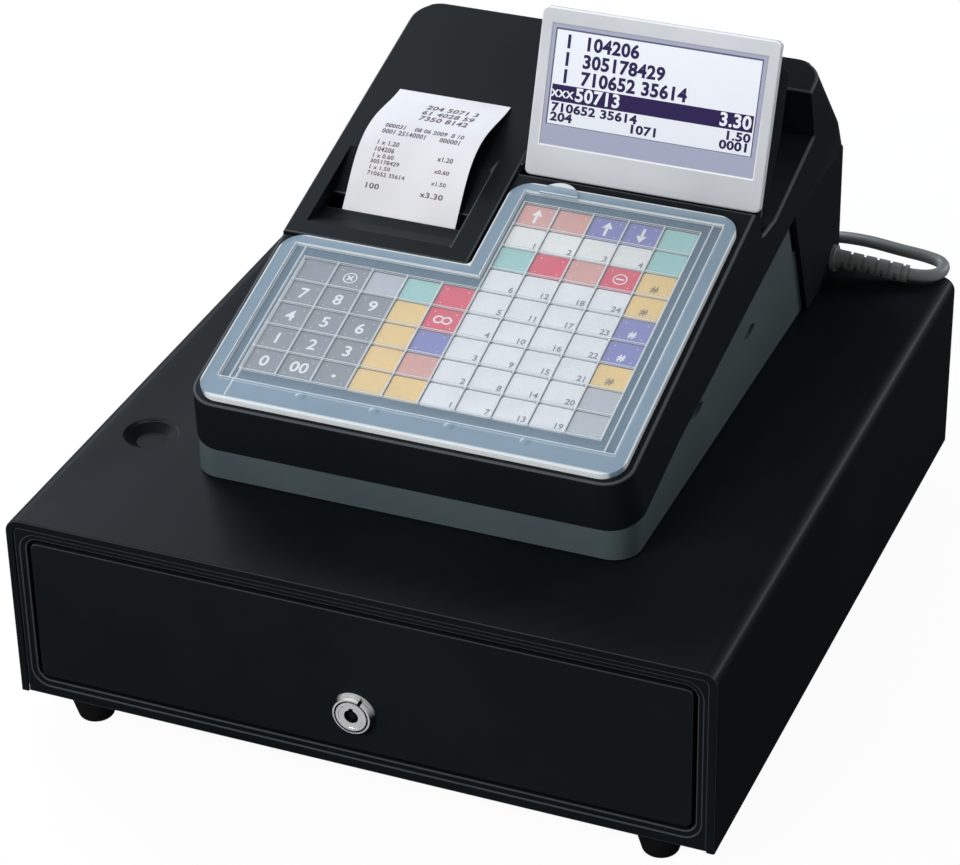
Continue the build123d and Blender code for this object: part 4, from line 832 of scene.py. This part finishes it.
def addLegends():
    kind = legendType
    wide, deep = keyboard["pitch"]
    pale, grey, brown = [], [], []
    for colour, legend, x, y in eachKey():
        cx, cy = x + wide / 2, y - deep / 2
        if colour == "dark" and legend.isdigit():
            pale.append((legend, cx, cy, kind["digit"], "CENTER"))
        if legend == ".":
            pale.append((legend, cx, cy + kind["pointAhead"], kind["point"], "CENTER"))
        if legend == "#":
            hashes = brown if colour == "amber" else pale
            hashes.append((legend, cx, cy - kind["hashBehind"], kind["hash"], "CENTER"))
        if colour in ("white", "cream"):
            spot = (x + wide - kind["numberFromRight"], y - deep + kind["numberFromFront"])
            grey.append((legend, *spot, kind["number"], "RIGHT"))
    lift = deckPlace @ Matrix.Translation((0, 0, keyboard["top"]))
    for name, lines in (("pale", pale), ("grey", grey), ("brown", brown)):
        ink = Finish(f"ink{name.title()}", kind[name], Roughness=0.5)
        ink.put("Roughness", ink.noise(3000.0, detail=1.0).between(0.45, 0.55))
        mesh = toMesh(lettering(lines, lift, weight=kind["weight"]), "legends")
        newObject(f"legends{name.title()}", mesh, ink, "housing", "key_print")
        if name == "pale":
            bm = addSigns()
            bm.transform(lift @ Matrix.Translation((0, 0, signs["lift"])))
            newObject("signs", toMesh(bm, "signs"), ink, "housing", "key_print")


# silicone cover, seen from above: an L with a broad front part and a narrower part behind it on
# the right; distances are from the deck's middle, or inwards from the nearest outer edge
cover = {
    "half": 0.1012,
    "front": -0.1232,
    "left": -0.0156,
    "right": 0.0435,
    "inner": -0.0099,
    "rim": 0.0069,
    "backRim": 0.0056,
    "frontRim": 0.0132,
    "wall": (0.0003, 0.0010),
    "frontWall": (0.0012, 0.0022),
    "border": (0.00022, 0.0003),
    "fieldEdge": (-0.0001, 0.0002),
    "band": 0.0119,
    "bandSoft": 0.0004,
    "bandLine": (0.00010, 0.00025),
    "leftLine": 0.0148,
    "leftLineWide": (0.00012, 0.00025),
    "leftLineBehind": -0.030,
    "leftLineStart": (0.0015, 0.0020),
    "clearFrom": (0.0135, 0.0175),
    "keysEdge": 0.0004,
    "keysSoft": 0.0002,
    "keysLeft": -0.0013,
    "ridge": (0.00014, 0.00030),
    "relief": {"ridge": 0.5, "fine": 0.05},
    "milk": (0.36, 0.49, 0.61),
    "haze": (0.54, 0.59, 0.65),
    # bright is the painted highlight's colour on ridges, lines and the rim's outer wall
    "bright": (0.80, 0.84, 0.86),
}
coverAlpha = {
    "rim": 0.47,
    "field": 0.36,
    "band": 0.20,
    "clear": 0.27,
    "keys": 0.15,
    "lines": 0.80,
    "ridge": 0.72,
    "cloud": 0.10,
}


def keyGrid(x, t):
    # 1 where keys are, and how far the nearest line between two keys is
    wide, deep = keyboard["pitch"]
    x0, y0 = keyboard["first"]
    edge = cover["keysEdge"]
    leftRear = y0 - keyboard["rearRows"] * deep + edge
    rear = (x > cover["keysLeft"]) * (keyboard["rearRows"] * deep) + leftRear
    inside = (x - (x0 - edge)).least(
        (x0 + keyboard["columns"] * wide + edge) - x, t - (y0 - keyboard["rows"] * deep - edge),
        rear - t,
    )
    across = (((x - x0) + wide / 2) % wide - wide / 2).size()
    along = (((t - y0) + deep / 2) % deep - deep / 2).size()
    return inside.rise(0.0, cover["keysSoft"]), across.least(along)


def siliconeFinish():
    # clear skin: a milky rim, a sunk field with thin borders, and a ridge round each key; borders,
    # ridges and the rim's outer wall are painted bright as highlights; x is along the deck and t up
    # its slope
    skin = Finish("silicone", cover["milk"], Roughness=0.3)
    x, t = skin.parts(skin.place(origin=deck["origin"], turn=deckSlope))[:2]
    rim = cover["rim"]
    side = cover["half"] - x.size()
    ahead = t - cover["front"]
    inward = x - cover["inner"]
    frontPart = side.least(ahead, cover["left"] - t)
    inset = frontPart.most(side.least(ahead, inward, cover["right"] - t))
    sunkSide = side.least(ahead - (cover["frontRim"] - rim)) - rim
    sunkBehind = sunkSide.least(inward - rim, cover["right"] - cover["backRim"] - t)
    sunk = sunkSide.least(cover["left"] - cover["backRim"] - t).most(sunkBehind)
    wall = (1.0 - inset.rise(*cover["wall"])).most(1.0 - ahead.rise(*cover["frontWall"]))
    border = sunk.near(0.0, *cover["border"])
    inField = sunk.rise(*cover["fieldEdge"])
    soft = cover["bandSoft"]
    bandEnd = side.rise(cover["band"] - 2 * soft, cover["band"] + soft)
    band = (side.rise(rim, rim + soft) - bandEnd) * inField
    line = side.near(cover["band"], *cover["bandLine"]) * inField
    leftLine = side.near(cover["leftLine"], *cover["leftLineWide"])
    leftLine = leftLine * (x < 0.0) * (t < cover["leftLineBehind"])
    lines = border.most(line, leftLine * ahead.rise(*cover["leftLineStart"]))
    keysHere, gridAway = keyGrid(x, t)
    ridge = (1.0 - gridAway.rise(*cover["ridge"])) * keysHere
    layers = (
        ("field", inField), ("band", band), ("clear", ahead.rise(*cover["clearFrom"]) * inField),
        ("keys", keysHere), ("lines", lines.most(wall)), ("ridge", ridge),
    )
    alpha = (coverAlpha["rim"],) * 3
    for name, here in layers:
        alpha = skin.blend(here, alpha, (coverAlpha[name],) * 3)
    cloud = (skin.noise(45.0, detail=3.0) - 0.5) * coverAlpha["cloud"]
    skin.put("Alpha", skin.add("RGBToBW", None, {0: alpha}) + cloud)
    tone = skin.blend(keysHere, cover["milk"], cover["haze"])
    # painted highlight: the ridges, raised lines and the rim's outer wall are made bright
    skin.put("Base Color", skin.blend(ridge.most(lines, wall), tone, cover["bright"]))
    fine = skin.noise(1800.0)
    skin.put("Roughness", fine.between(0.24, 0.38))
    relief = lines + ridge * cover["relief"]["ridge"] + fine * cover["relief"]["fine"]
    return skin.bump(relief, depth=0.0005, strength=0.5)


keyPads()
addLegends()
dress(siliconeFinish(), "keyboard_cover")
print("keyboard made")


# display: window, lit panel and what it shows
display = {
    "origin": (0.0, 0.063, 0.1922),
    "panel": (-0.0020, 0.0977, 0.0268, 0.0708),
    "glass": 0.0116,
    "fall": (-0.01, 0.05),
    "lit": (0.75, 0.78, 0.84),
    "ink": (0.022, 0.012, 0.078),
    "shadow": (0.10, 0.10, 0.17),
}
screenTurn = radians(90.0 - screenLean)
screenPlace = Matrix.Translation(display["origin"]) @ Matrix.Rotation(screenTurn, 4, "X")
# lifts are heights over the panel's face; shadow and band are how far their left, right, low and
# high ends are from the panel's, the band's both from its low one; rows stand on its lower left
readout = {
    "shadowLift": 0.00004,
    "sheetLift": 0.00008,
    "bandLift": 0.00012,
    "textLift": 0.00014,
    "shadow": (-0.0007, 0.0005, -0.0003, 0.0008),
    "band": (0.0006, -0.0006, 0.0108, 0.0186),
    "thick": 0.00004,
    "large": 0.0086,
    "count": 0.0085,
    "item": 0.0140,
    "items": (("104206", 0.0387), ("305178429", 0.0305), ("710652 35614", 0.0225)),
    "small": 0.0056,
    "widened": 1.25,
    "left": 0.0012,
    "middle": 0.0400,
    "right": 0.0010,
    "feet": (("710652 35614", "", "1.50", 0.0078), ("204", "1071", "0001", 0.0033)),
    "starSize": 0.0074,
    "star": (0.0004, 0.0042),
    "bandItem": 0.0122,
    "bandSum": 0.0014,
    "weight": 0.035,
    "bandWeight": 0.03,
    "starWeight": 0.01,
    "spread": 1.05,
}


def windowFinish():
    pane = Finish("displayWindow", (0.36, 0.38, 0.50), Roughness=0.14, Specular_IOR_Level=0.3)
    pane.put("Roughness", pane.noise(900.0).between(0.10, 0.18))
    return pane


def lcdFinish(name, colour, glow):
    # a little darker towards the panel's lower edge
    look = {"Roughness": 0.35, "Specular_IOR_Level": 0.1, "Emission_Strength": glow}
    panel = Finish(name, colour, **look)
    y = panel.parts(panel.place(origin=display["origin"], turn=screenTurn))[1]
    fall = (y - display["panel"][2]).rise(*display["fall"])
    panel.put("Base Color", panel.blend(fall, shaded(colour, 0.93), colour))
    return panel.put("Emission Color", colour)


def sheetOn(x0, x1, y0, y1, z):
    # a flat sheet on the screen
    bm = bmesh.new()
    bmesh.ops.create_grid(bm, x_segments=1, y_segments=1, size=0.5)
    bmesh.ops.scale(bm, vec=(x1 - x0, y1 - y0, 1), verts=bm.verts)
    bmesh.ops.translate(bm, vec=((x0 + x1) / 2, (y0 + y1) / 2, z), verts=bm.verts)
    bm.transform(screenPlace)
    return toMesh(bm, "sheet")


def readoutRows(x0, x1, y0):
    # the dark rows: a count and a number for each item, then two rows of smaller type
    rows = []
    large, small, widened = readout["large"], readout["small"], readout["widened"]
    for text, y in readout["items"]:
        rows.append(("1", x0 + readout["count"], y0 + y, large, "RIGHT"))
        rows.append((text, x0 + readout["item"], y0 + y, large, "LEFT"))
    for left, middle, right, y in readout["feet"]:
        rows.append((left, x0 + readout["left"], y0 + y, small, "LEFT", widened))
        rows.append((middle, x0 + readout["middle"], y0 + y, small, "LEFT", widened))
        rows.append((right, x1 - readout["right"], y0 + y, small, "RIGHT", widened))
    return rows


def displayPieces():
    glass = display["glass"]
    x0, x1, y0, y1 = display["panel"]
    lit = lcdFinish("lcdPanel", display["lit"], 0.05)
    navy = lcdFinish("lcdInk", display["ink"], 0.0)
    shade = lcdFinish("lcdShadow", display["shadow"], 0.0)
    left, right, low, high = readout["shadow"]
    outline = (x0 + left, x1 + right, y0 + low, y1 + high)
    left, right, low, high = readout["band"]
    band = (x0 + left, x1 + right, y0 + low, y0 + high)
    sheets = (
        ("lcdShadow", outline, "shadowLift", shade),
        ("lcdSheet", display["panel"], "sheetLift", lit),
        ("lcdBand", band, "bandLift", navy),
    )
    for name, ends, lift, finish in sheets:
        newObject(name, sheetOn(*ends, glass + readout[lift]), finish, "display", "lcd")
    star, starUp = readout["star"]
    centre = (band[2] + band[3]) / 2
    large, spread = readout["large"], readout["spread"]
    bright = [
        ("50713", x0 + readout["bandItem"], centre, large, "LEFT"),
        ("3.30", x1 - readout["bandSum"], centre, large, "RIGHT"),
    ]
    stars = [("xxx", x0 + star, band[2] + starUp, readout["starSize"], "LEFT")]
    texts = (
        ("lcdLines", "lines", readoutRows(x0, x1, y0), readout["weight"], spread, navy),
        ("lcdStars", "stars", stars, readout["starWeight"], 1.0, lit),
        ("lcdBandLines", "lines", bright, readout["bandWeight"], spread, lit),
    )
    place = screenPlace @ Matrix.Translation((0, 0, glass + readout["textLift"]))
    for name, meshName, lines, weight, apart, finish in texts:
        bm = lettering(lines, place, readout["thick"], weight, apart)
        newObject(name, toMesh(bm, meshName), finish, "display", "lcd")


dress(windowFinish(), "display_lens")
displayPieces()
print("display made")


# receipt print: left, right and centre are from the slip's middle, and a row is how far it stands
# from the slip's upper end, its size, how much it is squeezed, and its texts
receipt = {
    "middle": -0.060,
    "edges": {"LEFT": -0.0208, "RIGHT": 0.0194, "CENTER": 0.0045},
    "probes": 240,
    "inset": 0.0004,
    "lift": 0.00004,
    "thick": 0.00003,
    "weight": 0.026,
    "spread": 1.08,
    "rows": (
        (0.0130, 0.0060, 0.90, ("204 5071 3", "CENTER")),
        (0.0191, 0.0060, 0.90, ("61 4028 59", "CENTER")),
        (0.0250, 0.0060, 0.90, ("7350 8142", "CENTER")),
        (0.0355, 0.0040, 0.84, ("000031    08 06 2009", "LEFT"), ("8 10", "RIGHT")),
        (0.0397, 0.0040, 0.84, ("0001 25140001", "LEFT"), ("000001", "RIGHT")),
        (0.0468, 0.0035, 0.92, ("1 x 1.20", "LEFT")),
        (0.0506, 0.0034, 0.95, ("104206", "LEFT"), ("x1.20", "RIGHT")),
        (0.0540, 0.0030, 1.04, ("1 x 0.60", "LEFT")),
        (0.0570, 0.0028, 1.10, ("305178429", "LEFT"), ("x0.60", "RIGHT")),
        (0.0600, 0.0027, 1.14, ("1 x 1.50", "LEFT")),
        (0.0629, 0.0027, 1.14, ("710652 35614", "LEFT"), ("x1.50", "RIGHT")),
        (0.0690, 0.0036, 1.35, ("100", "LEFT"), ("x3.30", "RIGHT")),
    ),
}


def slipTrail():
    # points and normals along the middle of the slip's upper face, from its front end to its rear
    slip = bmesh.new()
    slip.from_mesh(nodes["receipt_slip"].data)
    tree = BVHTree.FromBMesh(slip)
    slip.free()
    low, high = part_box("receipt_slip")
    inset, probes = receipt["inset"], receipt["probes"]
    trail = []
    for k in range(probes + 1):
        y = low.y + inset + (high.y - low.y - 2 * inset) * k / probes
        spot, normal, *_ = tree.ray_cast(Vector((receipt["middle"], y, 1.0)), Vector((0, 0, -1)))
        if spot:
            trail.append((spot, normal))
    return trail


def receiptPrint():
    trail = slipTrail()
    far = [0.0]
    for (here, _), (there, _) in zip(trail, trail[1:]):
        far.append(far[-1] + (there - here).length)
    total = far[-1]
    lines = []
    for down, size, narrow, *texts in receipt["rows"]:
        for text, side in texts:
            lines.append((text, receipt["edges"][side], total - down, size, side, narrow))
    flat = Matrix.Identity(4)
    bm = lettering(lines, flat, receipt["thick"], receipt["weight"], receipt["spread"])
    for v in bm.verts:
        s = min(max(v.co.y, 0.0), total)
        k = min(bisect_right(far, s) - 1, len(trail) - 2)
        share = (s - far[k]) / (far[k + 1] - far[k])
        spot = trail[k][0].lerp(trail[k + 1][0], share)
        out = trail[k][1].lerp(trail[k + 1][1], share).normalized()
        lifted = out * (receipt["lift"] + v.co.z)
        v.co = Vector((receipt["middle"] + v.co.x, spot.y, spot.z)) + lifted
    ink = Finish("receiptInk", (0.09, 0.05, 0.07), Roughness=0.7)
    fade = ink.noise(900.0).rise(0.3, 0.7)
    ink.put("Base Color", ink.blend(fade, (0.08, 0.045, 0.06), (0.20, 0.15, 0.18)))
    newObject("receiptPrint", toMesh(bm, "print"), ink, "paper_door", "paper")


receiptPrint()
print("receipt printed")


# floor, backdrop and light; a lamp is its place, size, tint and power, and aims at target
studio = {
    "floor": (0.86, 0.86, 0.87),
    "floorHalf": 6.0,
    "floorDirect": 0.95,
    "floorGlossy": 0.035,
    "world": 0.32,
    "backdrop": 1.0,
    "glossy": 0.10,
    "target": (0, 0, 0.12),
    "lamps": (
        ((-0.85, -1.75, 1.40), (1.2, 0.8), (1.0, 1.0, 1.0), 40.0),
        ((-0.30, 0.05, 1.60), (0.8, 0.5), (0.96, 1.0, 1.04), 2.0),
        ((-1.25, 0.95, 1.0), (0.9, 0.7), (0.88, 0.98, 1.08), 20.0),
        ((1.05, 1.35, 0.62), (0.7, 0.5), (0.94, 1.0, 1.04), 11.0),
    ),
}


def floorFinish():
    # nearly white where the camera sees it, and nearly black in what it is mirrored in
    pale = Finish("floor", studio["floor"], Roughness=0.9)
    pale.put("Roughness", pale.noise(3.0).between(0.85, 0.95))
    mirrored = pale.add("LightPath", out="Is Glossy Ray")
    through = pale.add("LightPath", out="Is Transmission Ray")
    direct = pale.add("LightPath", out="Is Camera Ray").most(through) * studio["floorDirect"]
    glow = (1.0 - mirrored).most(mirrored * studio["floorGlossy"])
    white = pale.add("Emission", None, {"Color": (1.0, 1.0, 1.0), "Strength": glow})
    lit = Term(pale, pale.shader.outputs[0])
    mixed = pale.add("MixShader", None, {0: direct.most(mirrored), 1: lit, 2: white})
    pale.feed(pale.tree.nodes["Material Output"].inputs["Surface"], mixed)
    return pale


def addFloor():
    bm = bmesh.new()
    bmesh.ops.create_grid(bm, x_segments=1, y_segments=1, size=studio["floorHalf"])
    mesh = toMesh(bm, "floor")
    mesh.materials.append(floorFinish().material)
    floor = bpy.data.objects.new("floor", mesh)
    bpy.context.scene.collection.objects.link(floor)


def addWorld():
    # soft light all round, another strength for what the camera sees and for what is mirrored
    world = bpy.data.worlds.new("studio")
    bpy.context.scene.world = world
    world.use_nodes = True
    tree = world.node_tree
    rays = tree.nodes.new("ShaderNodeLightPath")

    def backdrop(node, strength):
        node.inputs["Color"].default_value = (1, 1, 1, 1)
        node.inputs["Strength"].default_value = strength
        return node.outputs[0]

    shown = backdrop(tree.nodes["Background"], studio["world"])
    for ray, name in (("Is Camera Ray", "backdrop"), ("Is Glossy Ray", "glossy")):
        other = backdrop(tree.nodes.new("ShaderNodeBackground"), studio[name])
        mix = tree.nodes.new("ShaderNodeMixShader")
        for socket, end in enumerate((rays.outputs[ray], shown, other)):
            tree.links.new(end, mix.inputs[socket])
        shown = mix.outputs[0]
    tree.links.new(shown, tree.nodes["World Output"].inputs["Surface"])


def addLamps():
    for k, (place, size, tint, power) in enumerate(studio["lamps"]):
        data = bpy.data.lights.new(f"softbox{k}", "AREA")
        data.shape = "RECTANGLE"
        data.size, data.size_y = size
        data.color = tint
        data.energy = power
        lamp = bpy.data.objects.new(f"softbox{k}", data)
        lamp.location = place
        lamp.rotation_mode = "QUATERNION"
        aimed = Vector(studio["target"]) - Vector(place)
        lamp.rotation_quaternion = aimed.to_track_quat("-Z", "Y")
        bpy.context.scene.collection.objects.link(lamp)


addFloor()
addWorld()
addLamps()
bpy.context.scene.view_settings.view_transform = "Standard"
print("studio set")
